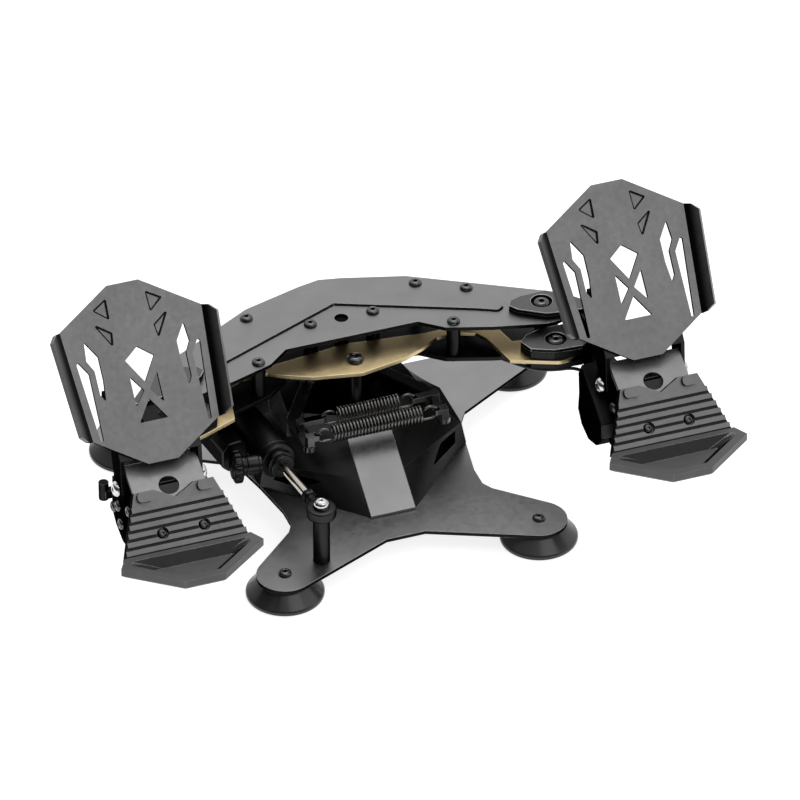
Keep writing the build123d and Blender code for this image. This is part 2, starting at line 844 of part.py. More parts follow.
# The rear eye is a slot across the damper, because the pin under the beam runs on an arc
pin_drift = hypot(damper_pin_x, damper_pin_y) * (1 - cos(radians(yaw_limit)))
with BuildPart() as damper_barrel:
    with BuildSketch(damper_section(barrel_front)):
        Circle(gland_diameter / 2)
    extrude(amount=gland_length)
    with BuildSketch(damper_section(barrel_front + gland_length)):
        Circle(barrel_diameter / 2)
    extrude(amount=barrel_length - gland_length)
    with BuildSketch(knob_plane.offset(barrel_diameter / 2 - 1)):
        Circle(collar_diameter / 2)
    extrude(amount=collar_length)
    with BuildSketch(damper_section(bore_front)):
        Circle(barrel_diameter / 2 - barrel_wall)
    extrude(amount=bore_rear - bore_front, mode=Mode.SUBTRACT)
    with BuildSketch(damper_section(barrel_front)):
        Circle(rod_diameter / 2 + slide_gap)
    extrude(amount=bore_front - barrel_front, mode=Mode.SUBTRACT)
    with BuildSketch(damper_level.offset(-5)):
        with Locations(((barrel_rear - 1 + damper_length + 10) / 2, 0)):
            Rectangle(damper_length + 11 - barrel_rear, 22)
        with Locations((damper_length, -pin_drift / 2)):
            SlotCenterToCenter(pin_drift, damper_pin_diameter + 2.4, rotation=90, mode=Mode.SUBTRACT)
    extrude(amount=10)
damper_barrel.part.label = "damper_barrel"
export_step(damper_barrel.part, "parts/damper_barrel.step")

knob_start = barrel_diameter / 2 - 1 + collar_length
with BuildPart() as adjuster_knob:
    with BuildSketch(knob_plane.offset(knob_start + part_gap)):
        Circle(knob_diameter / 2)
        with PolarLocations(knob_diameter / 2 + 0.5, 10):
            Circle(1.6, mode=Mode.SUBTRACT)
    extrude(amount=knob_width)
    with BuildSketch(knob_plane.offset(knob_start + part_gap + knob_width)):
        Circle(knob_diameter / 2 - 3.5)
    extrude(amount=1.5)
adjuster_knob.part.label = "adjuster_knob"
export_step(adjuster_knob.part, "parts/adjuster_knob.step")

knob_end = knob_start + part_gap + knob_width
knob_lean = knob_end * sin(radians(knob_angle)) + knob_diameter / 2 * cos(radians(knob_angle))
reservoir_front = knob_reach + knob_lean + reservoir_gap
with BuildPart() as damper_reservoir:
    with BuildSketch(damper_section(reservoir_front)):
        with Locations((-barrel_diameter / 2 - reservoir_width / 2 - seat_gap, 2)):
            Rectangle(reservoir_width, reservoir_depth)
    extrude(amount=reservoir_length)
    chamfer(damper_reservoir.edges().filter_by(Axis(damper_start, damper_way)), 5)
damper_reservoir.part.label = "damper_reservoir"
export_step(damper_reservoir.part, "parts/damper_reservoir.step")

# Foot plate of the right pedal: flat sheet with slots, shallow pockets and two bent flanges
plate_way = Vector(0, cos(radians(foot_plate_angle)), sin(radians(foot_plate_angle)))
plate_normal = Vector(0, -sin(radians(foot_plate_angle)), cos(radians(foot_plate_angle)))
foot_plane = Plane(
    (pedal_x, pivot_y + foot_plate_bottom_y, foot_plate_bottom_z), x_dir=(1, 0, 0), z_dir=plate_normal
)
flange_bottom = (46, 19.5)
flange_top = (51.8, 98.5)


def both(*points):
    """An outline in the foot plate's plane and its mirror image."""
    for side in (1, -1):
        Polygon(*[(side * x, s) for x, s in points], align=None)


with BuildPart() as foot_plate:
    with BuildSketch(foot_plane):
        with BuildLine():
            Polyline((0, -3.2), (11, -3.2), flange_bottom, flange_top, (11.5, 124.4), (0, 124.4))
            mirror(about=Plane.YZ)
        make_face()
    extrude(amount=-foot_plate_sheet)
    with BuildSketch(foot_plane) as slots:
        both((0, 78.7), (10.6, 70.4), (0, 53.3))
        both((10, 59.1), (1.9, 47.5), (10.2, 36.8))
        both((0, 41.5), (10.4, 25.8), (0, 25.8))
        both((36.5, 89.2), (37.8, 75.3), (33.6, 67.6), (33.5, 50.5), (30.4, 45), (28.7, 60), (28.7, 76.8))
        both((43.6, 75.6), (45.3, 74.3), (40.6, 18.8), (38.3, 18.6), (37.8, 66.3))
        fillet(slots.vertices(), slot_corner_radius)
    extrude(amount=-foot_plate_sheet, mode=Mode.SUBTRACT)
    with BuildSketch(foot_plane) as pockets:
        both((14.2, 116), (25.7, 109), (14.8, 100.1))
        both((28.4, 101), (15, 91.4), (16.5, 80.6))
        fillet(pockets.vertices(), pocket_corner_radius)
    extrude(amount=pocket_floor - foot_plate_sheet, mode=Mode.SUBTRACT)
    for side in (1, -1):
        bend_start = foot_plane.from_local_coords(Vector(side * flange_bottom[0], flange_bottom[1], 0))
        bend_end = foot_plane.from_local_coords(Vector(side * flange_top[0], flange_top[1], 0))
        bend_way = (bend_end - bend_start).normalized()
        outward = (Vector(side, 0, 0) - bend_way * bend_way.dot(Vector(side, 0, 0))).normalized()
        rise = outward * cos(radians(flange_tilt)) + plate_normal * sin(radians(flange_tilt))
        flange_plane = Plane(bend_start, x_dir=bend_way, z_dir=bend_way.cross(rise))
        length = (bend_end - bend_start).length
        with BuildSketch(flange_plane.offset(side * foot_plate_sheet / 2)):
            Polygon(
                (0, -0.5),
                (length, -0.5),
                (length - 1, 5),
                (length - 6, flange_height),
                (5, flange_height),
                (1, 5),
                align=None,
            )
        extrude(amount=foot_plate_sheet / 2, both=True)
export_pair(foot_plate, "foot_plate")

# Bracket behind the foot plate: two arms on the toe axle and a web
bracket_inner = cheek_half_width + part_gap
bracket_outer = bracket_inner + bracket_sheet
back_shift = plate_normal * -(foot_plate_sheet + seat_gap)


def plate_back(reach):
    """(y, z) from the main shaft of a place on the foot plate's back, a reach above its bottom."""
    place = plate_way * reach + back_shift
    return (foot_plate_bottom_y + place.Y, foot_plate_bottom_z + place.Z)


with BuildPart() as foot_bracket:
    for x in (pedal_x + bracket_outer, pedal_x - bracket_inner):
        with BuildSketch(side_plane(x)):
            Polygon(
                *back(
                    plate_back(2),
                    plate_back(50),
                    (plate_back(50)[0] + 7, plate_back(50)[1] - 1),
                    (plate_back(44)[0] + 12, plate_back(44)[1] - 8),
                    (-112, 130),
                    (toe_axle_y + 9, toe_axle_z + 2),
                    (toe_axle_y + 5, toe_axle_z - 7),
                    (toe_axle_y - 5, toe_axle_z - 7),
                    (toe_axle_y - 8.5, toe_axle_z),
                    (toe_axle_y - 7, toe_axle_z + 8),
                ),
                align=None,
            )
            with Locations(*back((toe_axle_y, toe_axle_z))):
                Circle(toe_axle_diameter / 2 + running_gap, mode=Mode.SUBTRACT)
        extrude(amount=bracket_sheet)
    with BuildSketch(foot_plane.offset(-foot_plate_sheet - seat_gap)):
        with Locations((0, 13)):
            Rectangle(2 * bracket_outer, 22)
    extrude(amount=-bracket_sheet)
export_pair(foot_bracket, "foot_bracket")

with BuildPart() as toe_axle:
    head_seat = bracket_outer + part_gap
    with BuildSketch(side_plane(pedal_x + head_seat)):
        with Locations(*back((toe_axle_y, toe_axle_z))):
            Circle(toe_axle_diameter / 2)
    extrude(amount=2 * head_seat)
    for x, way in ((pedal_x + head_seat, -1), (pedal_x - head_seat, 1)):
        with BuildSketch(side_plane(x)):
            with Locations(*back((toe_axle_y, toe_axle_z))):
                Circle(toe_head_diameter / 2)
                RegularPolygon(2.6, 6, mode=Mode.SUBTRACT)
        extrude(amount=way * 4)
export_pair(toe_axle, "toe_axle")

# Side cheeks of the pedal carrier
sheet_drop = tan(radians(heel_slope))


def cheek(x):
    """One side cheek, its outer face on the plane at x."""
    with BuildSketch(side_plane(x)) as profile:
        Polygon(
            *back(
                (heel_top_y - 2, heel_top_z - 4.5),
                (cheek_front_y, heel_top_z - 4.5 - (heel_top_y - 2 - cheek_front_y) * sheet_drop),
                (-172, 88),
                (-160, 70),
                (-146, 60),
                (-124, 57.4),
                (-110.6, 62),
                (-101.5, 69.5),
                (-103, 87),
                (-108, 100),
                (-114, 113),
            ),
            align=None,
        )
        with Locations(*back((toe_axle_y, toe_axle_z))):
            Circle(toe_axle_diameter / 2 + running_gap, mode=Mode.SUBTRACT)
        with Locations(*back(*cheek_screw_places)):
            Circle(screw_diameter / 2 + seat_gap, mode=Mode.SUBTRACT)
    extrude(profile.sketch, amount=cheek_sheet)


cheek_screw_places = [(-143, 96), (-118.7, 84), (-124.8, 72.6), (-108, 76)]
with BuildPart() as outer_cheek:
    cheek(pedal_x + cheek_half_width)
    with BuildSketch(level(78)):
        with Locations((pedal_x + cheek_half_width + 5, -99)):
            Circle(3.6)
    extrude(amount=14)
    with BuildSketch(level(80)):
        with Locations((pedal_x + cheek_half_width + 1.5, -100.5)):
            Rectangle(7, 6)
    extrude(amount=6)
export_pair(outer_cheek, "outer_cheek")

with BuildPart() as inner_cheek:
    cheek(pedal_x - cheek_half_width + cheek_sheet)
export_pair(inner_cheek, "inner_cheek")

# Carrier body: a tower beside the beam's end with arms over and under it, and a block between the cheeks
cap_bottom = beam_top + cap_gap
rear_arm_outline = [
    (tower_outer_x, -56), (148, -53.5), (137, -51.4), (119, -39.6), (115, -33.6), (118, -28), (127, -25),
    (146, -24.5), (158, -33), (tower_outer_x, -50),
]
front_arm_outline = [
    (tower_inner_x + 1, -76), (153.5, -79.7), (133, -78), (118, -71), (114, -60.3), (121, -53.5),
    (133, -50), (150, -50), (tower_inner_x + 1, -55),
]
inner_half = cheek_half_width - cheek_sheet
with BuildPart() as carrier_body:
    with BuildSketch(level(78)):
        with BuildLine():
            Polyline((tower_inner_x, -82), (tower_outer_x, -82), (tower_outer_x, -50), (tower_inner_x + 3, -44),
                     (tower_inner_x, -44), close=True)
        make_face()
    extrude(amount=cap_bottom + arm_plate_thickness - 78)
    with BuildSketch(level(78)):
        Polygon((tower_inner_x - 5, -99), (tower_outer_x + 3, -99), (tower_outer_x, -80), (tower_inner_x, -80), align=None)
    extrude(amount=20)
    for bottom, thickness in ((cap_bottom, arm_plate_thickness), (78, lower_plate_bottom - part_gap - 78)):
        with BuildSketch(level(bottom)):
            Polygon(*rear_arm_outline, align=None)
        extrude(amount=thickness)
    for bottom, top in (
        (link_top + part_gap, front_cap_top - cap_thickness),
        (beam_lower_top + 2, link_top - link_sheet - part_gap),
    ):
        with BuildSketch(level(bottom)):
            Polygon(*front_arm_outline, align=None)
        extrude(amount=top - bottom)
    with BuildSketch(side_plane(pedal_x + inner_half)):
        with BuildLine():
            Polyline(
                *back((-94, 92), (-110, 92), (-150, 86), (-165, 86), (-152, 66), (-124, 60), (-106, 66), (-94, 78)),
                close=True,
            )
        make_face()
    extrude(amount=2 * inner_half)
    with Locations(
        Plane((beam_end_x, pivot_y + beam_end_y, 0)), Plane((link_end_x, pivot_y + link_end_y, 0))
    ):
        Cylinder(pivot_diameter / 2 + seat_gap, 3 * beam_top, mode=Mode.SUBTRACT)
    with BuildSketch(side_plane(pedal_x + inner_half)):
        with Locations(*back(*cheek_screw_places[1:])):
            Circle(screw_diameter / 2 + seat_gap)
    extrude(amount=2 * inner_half, mode=Mode.SUBTRACT)
export_pair(carrier_body, "carrier_body")

with BuildPart() as rear_cap:
    with BuildSketch(level(cap_bottom + arm_plate_thickness)):
        Polygon(*rear_arm_outline, align=None)
        with Locations((beam_end_x, beam_end_y)):
            Circle(cap_recess_diameter / 2, mode=Mode.SUBTRACT)
    extrude(amount=cap_thickness)
export_pair(rear_cap, "rear_cap")

with BuildPart() as front_cap:
    with BuildSketch(level(front_cap_top - cap_thickness)):
        with BuildLine():
            Polyline((tower_inner_x - seat_gap, -76), *front_arm_outline[1:-1], (tower_inner_x - seat_gap, -55),
                     close=True)
        make_face()
        with Locations((link_end_x, link_end_y)):
            Circle(cap_recess_diameter / 2, mode=Mode.SUBTRACT)
    extrude(amount=cap_thickness)
export_pair(front_cap, "front_cap")

with BuildPart() as pivot_screws:
    for x, y, bottom, top in (
        (beam_end_x, beam_end_y, 76, cap_bottom + arm_plate_thickness),
        (link_end_x, link_end_y, beam_lower_top + 0.5, front_cap_top - cap_thickness),
    ):
        with BuildSketch(level(bottom)):
            with Locations((x, y)):
                Circle(pivot_diameter / 2)
        extrude(amount=top - bottom)
        with BuildSketch(level(top)):
            with Locations((x, y)):
                Circle(pivot_head_diameter / 2)
                RegularPolygon(2.6, 6, mode=Mode.SUBTRACT)
        extrude(amount=pivot_head_height)
export_pair(pivot_screws, "pivot_screws")

# Sensor module on the inner cheek
module_x = pedal_x - cheek_half_width - seat_gap
with BuildPart() as brake_module:
    with BuildSketch(side_plane(module_x)):
        with BuildLine():
            Polyline(
                *back((-103.8, 109), (-98, 99), (-99.6, 82), (-98, 67.5), (-106, 58), (-120, 54), (-134, 58.5),
                      (-146, 72), (-145, 84)),
                close=True,
            )
        make_face()
        with Locations(*back(cheek_screw_places[0])):
            Circle(screw_head_diameter / 2 + 0.5, mode=Mode.SUBTRACT)
        with Locations(*back((toe_axle_y, toe_axle_z))):
            Circle(toe_head_diameter / 2 + 0.5, mode=Mode.SUBTRACT)
    extrude(amount=module_thickness)
    chamfer(brake_module.faces().sort_by(Axis.X)[0].edges(), 1)
export_pair(brake_module, "brake_module")


# Heel sheet: bent strip from under the foot plate, behind the block and under the tray
def along_sheet(distance, lift=0.0):
    """(y, z) on the sloping part of the heel sheet's top face, a distance down from its top edge."""
    y = heel_top_y - distance * cos(radians(heel_slope)) - lift * sin(radians(heel_slope))
    return (y, heel_top_z - distance * sin(radians(heel_slope)) + lift * cos(radians(heel_slope)))


block_way = Vector(0, block_bottom_y - block_top_y, block_bottom_z - block_top_z).normalized()
back_normal = Vector(0, -block_way.Z, block_way.Y)
block_length = hypot(block_bottom_y - block_top_y, block_bottom_z - block_top_z)
block_plane = Plane(
    (pedal_x, pivot_y + block_bottom_y, block_bottom_z), x_dir=(1, 0, 0), z_dir=back_normal * -1
)
block_screw_places = [(block_screw_x, block_screw_rise), (-block_screw_x, block_screw_rise)]
tray_bottom = tray_top - tray_height
sheet_bend = 28


def block_back(distance, depth=0.0):
    """(y, z) behind the heel block's back, a distance up from its bottom edge, with the seat gap."""
    place = block_way * -distance + back_normal * (block_thickness + seat_gap + depth)
    return (block_bottom_y + place.Y, block_bottom_z + place.Z)


def sheet_foot(height, depth):
    """(y, z) where the sheet behind the block reaches a height."""
    return block_back((block_back(0, depth)[1] - height) / block_way.Z, depth)


with BuildPart() as heel_sheet:
    with BuildSketch(side_plane(pedal_x + cheek_half_width)):
        with BuildLine():
            Polyline(
                *back(
                    along_sheet(0),
                    along_sheet(sheet_bend),
                    block_back(block_length - 8),
                    sheet_foot(tray_bottom - seat_gap, 0),
                    (block_bottom_y - tray_sheet_depth, tray_bottom - seat_gap),
                    (block_bottom_y - tray_sheet_depth, tray_bottom - seat_gap - heel_sheet_thickness),
                    sheet_foot(tray_bottom - seat_gap - heel_sheet_thickness, heel_sheet_thickness),
                    block_back(block_length - 8.6, heel_sheet_thickness),
                    along_sheet(sheet_bend - 1.2, -heel_sheet_thickness),
                    along_sheet(0, -heel_sheet_thickness),
                ),
                close=True,
            )
        make_face()
    extrude(amount=2 * cheek_half_width)
    hole_y, hole_z = along_sheet(22)
    with BuildSketch(Plane((pedal_x, pivot_y + hole_y, hole_z), x_dir=(1, 0, 0),
                           z_dir=(0, -sin(radians(heel_slope)), cos(radians(heel_slope))))):
        Circle(heel_hole_diameter / 2)
    extrude(amount=-2 * heel_sheet_thickness, mode=Mode.SUBTRACT)
    with BuildSketch(block_plane):
        with Locations(*block_screw_places):
            Circle(block_screw_diameter / 2 + seat_gap)
    extrude(amount=-block_thickness - 2 * heel_sheet_thickness, mode=Mode.SUBTRACT)
export_pair(heel_sheet, "heel_sheet")

# Ribbed heel block
with BuildPart() as heel_block:
    with BuildSketch(block_plane):
        with BuildLine():
            Polyline((0, 0), (block_bottom_half_width, 0), (block_top_half_width, block_length),
                     (block_top_half_width - block_pad_width, block_length), (0, block_length - block_notch_depth))
            mirror(about=Plane.YZ)
        make_face()
    extrude(amount=-block_thickness)
    pitch = (block_length - block_notch_depth - rib_margin) / rib_count
    for rib in range(rib_count):
        low = rib_margin + rib * pitch
        with BuildSketch(block_plane):
            with Locations((0, low + pitch * rib_share / 2)):
                half = block_bottom_half_width - (block_bottom_half_width - block_top_half_width) * low / block_length
                Rectangle(2 * half - 1, pitch * rib_share)
        extrude(amount=rib_height)
    with BuildSketch(block_plane):
        pad_x = block_top_half_width - block_pad_width / 2
        with Locations((pad_x, block_length - 4), (-pad_x, block_length - 4)):
            RectangleRounded(block_pad_width - 2.5, pad_length, pad_corner_radius)
    extrude(amount=pad_height)
    with BuildSketch(block_plane.offset(pad_height)):
        with Locations(*block_screw_places):
            Circle(block_screw_head_diameter / 2 + block_screw_recess_gap)
    extrude(amount=-pad_height - block_screw_depth, mode=Mode.SUBTRACT)
    with BuildSketch(block_plane):
        with Locations(*block_screw_places):
            Circle(block_screw_diameter / 2 + seat_gap)
    extrude(amount=-block_thickness, mode=Mode.SUBTRACT)
export_pair(heel_block, "heel_block")

# Screws through both cheeks, and the two that hold the heel block
with BuildPart() as cheek_screws:
    for x, way in ((pedal_x + cheek_half_width, -1), (pedal_x - cheek_half_width, 1)):
        places = cheek_screw_places if way < 0 else cheek_screw_places[:1]
        with BuildSketch(side_plane(x)):
            with Locations(*back(*places)):
                Circle(screw_head_diameter / 2 - 0.6)
                RegularPolygon(screw_socket_diameter / 2, 6, mode=Mode.SUBTRACT)
        extrude(amount=way * screw_head_height)
        with BuildSketch(side_plane(x)):
            with Locations(*back(*places)):
                Circle(screw_diameter / 2)
        extrude(amount=-way * (cheek_sheet + 4))
    with BuildSketch(block_plane.offset(-block_screw_depth)):
        with Locations(*block_screw_places):
            Circle(block_screw_head_diameter / 2)
            RegularPolygon(screw_socket_diameter / 2, 6, mode=Mode.SUBTRACT)
    extrude(amount=screw_head_height)
    with BuildSketch(block_plane.offset(-block_screw_depth)):
        with Locations(*block_screw_places):
            Circle(block_screw_diameter / 2)
    extrude(amount=block_screw_depth - block_thickness - heel_sheet_thickness - 1)
export_pair(cheek_screws, "cheek_screws")

# Dished heel tray
tray_rear_y = block_bottom_y + 1
with BuildPart() as heel_tray:
    with BuildSketch(level(tray_top)) as tray_outline:
        with BuildLine():
            Polyline(
                (pedal_x - tray_front_half_width, -tray_reach),
                (pedal_x + tray_front_half_width, -tray_reach),
                (pedal_x + tray_half_width, tray_widest_y),
                (pedal_x + block_bottom_half_width, tray_rear_y),
                (pedal_x - block_bottom_half_width, tray_rear_y),
                (pedal_x - tray_half_width, tray_widest_y),
                close=True,
            )
        make_face()
    extrude(amount=-tray_lip)
    with BuildSketch(level(tray_top - tray_lip)):
        add(tray_outline.sketch_local)
    extrude(amount=tray_lip - tray_height, taper=tray_wall_angle)
    with BuildSketch(level(tray_top)):
        add(tray_outline.sketch_local)
        offset(amount=-tray_rim, kind=Kind.INTERSECTION)
    extrude(amount=tray_floor - tray_height, taper=tray_wall_angle, mode=Mode.SUBTRACT)
    with BuildSketch(block_plane.offset(rib_height + part_gap)):
        with Locations((0, block_length / 2)):
            Rectangle(4 * tray_half_width, 2 * block_length)
    extrude(amount=-60, mode=Mode.SUBTRACT)
export_pair(heel_tray, "heel_tray")

# Sensor lead from under the beam into the module, with arcs as large as its runs allow
lead_points = [
    (100, -37, 83.6), (114, -49, 80), (128, -57, 76.5), (141, -61, 76), (151, -67, 79.5), (155.5, -78, 83),
    (152.5, -89, 86), (149, -98.3, 88),
]
lead_vectors = [Vector(x, pivot_y + y, z) for x, y, z in lead_points]
lead_radii = []
for before, here, after in zip(lead_vectors, lead_vectors[1:], lead_vectors[2:]):
    half_turn = radians((here - before).get_angle(after - here)) / 2
    shorter = min((here - before).length, (after - here).length)
    lead_radii.append(0.45 * shorter / tan(half_turn))
print("lead radii", [round(radius, 1) for radius in lead_radii])
with BuildPart() as brake_lead:
    with BuildLine() as lead_route:
        FilletPolyline(*lead_vectors, radius=lead_radii)
    with BuildSketch(Plane(lead_vectors[0], z_dir=lead_vectors[1] - lead_vectors[0])):
        Circle(lead_diameter / 2)
    sweep(path=lead_route.wire())
export_pair(brake_lead, "brake_lead")
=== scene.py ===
"""Looks of a rudder pedal set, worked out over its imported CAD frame.

Lengths in the classes are millimetres from the foot of the main shaft, with +X to the user's right,
+Y away from the user and +Z up; shaft_frame turns them into the CAD frame's metres. Round pieces are
profiles turned about a line, wires are circles carried along a path, and sheet pieces are copies of the
CAD nodes whose edges are softened, so every dimension stays that of the CAD model.
"""

import logging
import math
from collections.abc import Callable, Iterator, Sequence
from contextlib import contextmanager
from dataclasses import dataclass, field
from enum import Enum, IntEnum

import bmesh
import bpy
import numpy as np
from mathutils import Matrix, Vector


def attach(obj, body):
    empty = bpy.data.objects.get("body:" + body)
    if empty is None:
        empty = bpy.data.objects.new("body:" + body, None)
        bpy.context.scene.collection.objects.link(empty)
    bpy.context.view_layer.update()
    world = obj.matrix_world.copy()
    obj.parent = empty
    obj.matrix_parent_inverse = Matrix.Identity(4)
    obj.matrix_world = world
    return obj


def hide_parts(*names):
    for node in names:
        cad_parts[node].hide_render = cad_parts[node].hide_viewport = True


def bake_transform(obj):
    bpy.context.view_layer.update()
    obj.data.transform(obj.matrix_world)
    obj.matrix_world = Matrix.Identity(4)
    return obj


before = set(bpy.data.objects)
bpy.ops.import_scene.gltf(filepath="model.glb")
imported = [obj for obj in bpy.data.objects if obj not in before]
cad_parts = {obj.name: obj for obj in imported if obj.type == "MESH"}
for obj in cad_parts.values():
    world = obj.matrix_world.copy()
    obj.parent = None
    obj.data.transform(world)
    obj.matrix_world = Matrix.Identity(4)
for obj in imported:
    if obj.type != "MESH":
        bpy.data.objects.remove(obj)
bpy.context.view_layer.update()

log = logging.getLogger("rudder_pedals")
MM = 0.001
PIVOT_Y = 76.05
# Points closer than a seam, in metres, become one, and faces that meet flatter than this, in degrees, too
SEAM = 1e-6
CAD_SEAM = 2e-6
FLAT_ANGLE = 0.6
# Patches of colour and of gloss per metre, their detail, and the part of the noise that they spread over
COLOUR_PATCHES, COLOUR_DETAIL, COLOUR_SPAN = 38, 3, (0.35, 0.65)
GLOSS_PATCHES, GLOSS_DETAIL, GLOSS_SPAN, GLOSS_SHARES = 260, 4, (0.3, 0.7), (0.9, 1.12)
BUMP_STRENGTH = 0.07
# The share of a flange, from its fold outwards, that lies in full painted shade
FOLD_CORE = 0.25
Array = np.ndarray


def shaft_frame(points: Sequence) -> Array:
    """Turn points in millimetres from the main shaft's foot into metres in the CAD frame.

    Args:
        points: One point, or an array of points whose last axis holds x, y and z.

    Returns:
        The points as a float array of the same shape.
    """
    return (np.asarray(points, float) + (0.0, PIVOT_Y, 0.0)) * MM


def unit(vector: Sequence[float]) -> Array:
    """The vector at length one."""
    vector = np.asarray(vector, float)
    return vector / np.linalg.norm(vector)


class Grain(Enum):
    """How a finish is broken up close by: bumps per metre, detail, and how much closer they are on each axis."""

    BLASTED = (2600, 2, (1, 1, 1))
    POWDER = (1100, 2, (1, 1, 1))
    MOULDED = (1700, 4, (1, 1, 1))
    DRAWN = (900, 3, (1, 1, 6))
    SMOOTH = (400, 1, (1, 1, 1))


def add_node(tree: bpy.types.NodeTree, kind: str, sockets: dict, **settings: str) -> bpy.types.Node:
    """Add a shader node.

    Args:
        tree: The node tree.
        kind: The node's type, without the ShaderNode that it starts with.
        sockets: What goes into its inputs: another node's output, or a plain value.
        settings: The node's own properties, such as its operation.

    Returns:
        The node.
    """
    made = tree.nodes.new(f"ShaderNode{kind}")
    for key, value in settings.items():
        setattr(made, key, value)
    for key, value in sockets.items():
        if isinstance(value, bpy.types.NodeSocket):
            tree.links.new(value, made.inputs[key])
        else:
            made.inputs[key].default_value = value
    return made


def noise(tree: bpy.types.NodeTree, coords: bpy.types.NodeSocket, scale: float, detail: float,
          stretch: Sequence[float] = (1, 1, 1)) -> bpy.types.NodeSocket:
    """Spread noise over a surface.

    Args:
        tree: The material's nodes.
        coords: The piece's own coordinates.
        scale: Bumps per metre.
        detail: How many finer layers are added.
        stretch: How many times closer the bumps stand along each axis.

    Returns:
        The noise, from 0 to 1.
    """
    mapping = add_node(tree, "Mapping", {"Scale": stretch, "Vector": coords})
    sockets = {"Scale": scale, "Detail": detail, "Vector": mapping.outputs["Vector"]}
    return add_node(tree, "TexNoise", sockets).outputs["Fac"]


@dataclass(frozen=True)
class Finish:
    """One surface finish, made as a node material the first time it is asked for.

    Its colour drifts a little over the surface, its roughness varies over a few millimetres, and its
    grain is a bump whose size and depth are real ones. Graze is the share of light that the metal
    gives back where it is seen nearly edge on. Fold shade is a painted shade: the share of the colour
    left at a fold.
    """

    name: str
    tone: float | tuple
    roughness: float
    grain: Grain = Grain.BLASTED
    depth: float = 0.02
    metallic: float = 1.0
    drift: float = 0.05
    graze: float = 1.0
    fold_shade: float = 1.0

    def material(self) -> bpy.types.Material:
        """The finish's material, shared by every piece that has it."""
        return bpy.data.materials.get(self.name) or self._build()

    def _shaded(self, tree: bpy.types.NodeTree, colour: bpy.types.NodeSocket) -> bpy.types.NodeSocket:
        """Paint shade on a colour towards a fold, by a smooth step over the mesh's own fold attribute.

        Args:
            tree: The material's nodes.
            colour: The colour away from the fold, where the attribute is 1.

        Returns:
            The colour, whose share at the fold is fold_shade.
        """
        fold = add_node(tree, "Attribute", {}, attribute_name="fold").outputs["Fac"]
        shade = add_node(tree, "MapRange", {"From Min": FOLD_CORE, "To Min": self.fold_shade, "Value": fold},
                         interpolation_type="SMOOTHSTEP")
        product = add_node(tree, "VectorMath", {0: colour, "Scale": shade.outputs["Result"]}, operation="SCALE")
        return product.outputs["Vector"]

    def _build(self) -> bpy.types.Material:
        """Make the material's nodes.

        Returns:
            The new material.
        """
        material = bpy.data.materials.new(self.name)
        material.use_nodes = True
        tree = material.node_tree
        shader = tree.nodes["Principled BSDF"]
        shader.inputs["Metallic"].default_value = self.metallic
        shader.inputs["Specular Tint"].default_value = (self.graze, self.graze, self.graze, 1)
        coords = tree.nodes.new("ShaderNodeTexCoord").outputs["Object"]

        ramp = add_node(tree, "ValToRGB", {"Fac": noise(tree, coords, COLOUR_PATCHES, COLOUR_DETAIL)})
        tone = np.ones(3) * self.tone
        shares = (1 - self.drift, 1 + self.drift)
        for element, position, share in zip(ramp.color_ramp.elements, COLOUR_SPAN, shares):
            element.position = position
            element.color = (*np.clip(tone * share, 0, 1), 1)
        colour = ramp.outputs["Color"]
        if self.fold_shade < 1:
            colour = self._shaded(tree, colour)
        gloss = add_node(tree, "MapRange", {
            "From Min": GLOSS_SPAN[0], "From Max": GLOSS_SPAN[1],
            "To Min": self.roughness * GLOSS_SHARES[0], "To Max": self.roughness * GLOSS_SHARES[1],
            "Value": noise(tree, coords, GLOSS_PATCHES, GLOSS_DETAIL),
        })
        bump = add_node(tree, "Bump", {
            "Strength": BUMP_STRENGTH, "Distance": self.depth * MM, "Height": noise(tree, coords, *self.grain.value),
        })
        tree.links.new(colour, shader.inputs["Base Color"])
        tree.links.new(gloss.outputs["Result"], shader.inputs["Roughness"])
        tree.links.new(bump.outputs["Normal"], shader.inputs["Normal"])
        return material


BASE_COAT = Finish("base_plate_satin", 0.25, 0.36, depth=0.008)
BEAM_ANODISED = Finish("beam_grey_anodised", 0.21, 0.4)
# Painted highlight along the beam's and caps' rounded edges and the band's rear slopes
BEAM_EDGE_HIGHLIGHT = Finish("beam_bright_edge", 0.42, 0.3, depth=0.01)
UNDER_ANODISED = Finish("beam_black_anodised", (0.035, 0.035, 0.036), 0.36, depth=0.01, graze=0.2)
PEDAL_ANODISED = Finish("pedal_grey_anodised", (0.205, 0.205, 0.206), 0.42)
# Painted highlight along the rounded edges of pedal, cheek, heel and base pieces
PEDAL_EDGE_HIGHLIGHT = Finish("pedal_edge", 0.3, 0.3, depth=0.01)
CAP_ANODISED = Finish("cap_grey_anodised", 0.1, 0.36)
CHEEK_ANODISED = Finish("cheek_dark_anodised", (0.02, 0.02, 0.0205), 0.34, depth=0.01, graze=0.1)
GOLD_ANODISED = Finish("link_gold_anodised", (0.74, 0.585, 0.33), 0.36, depth=0.008)
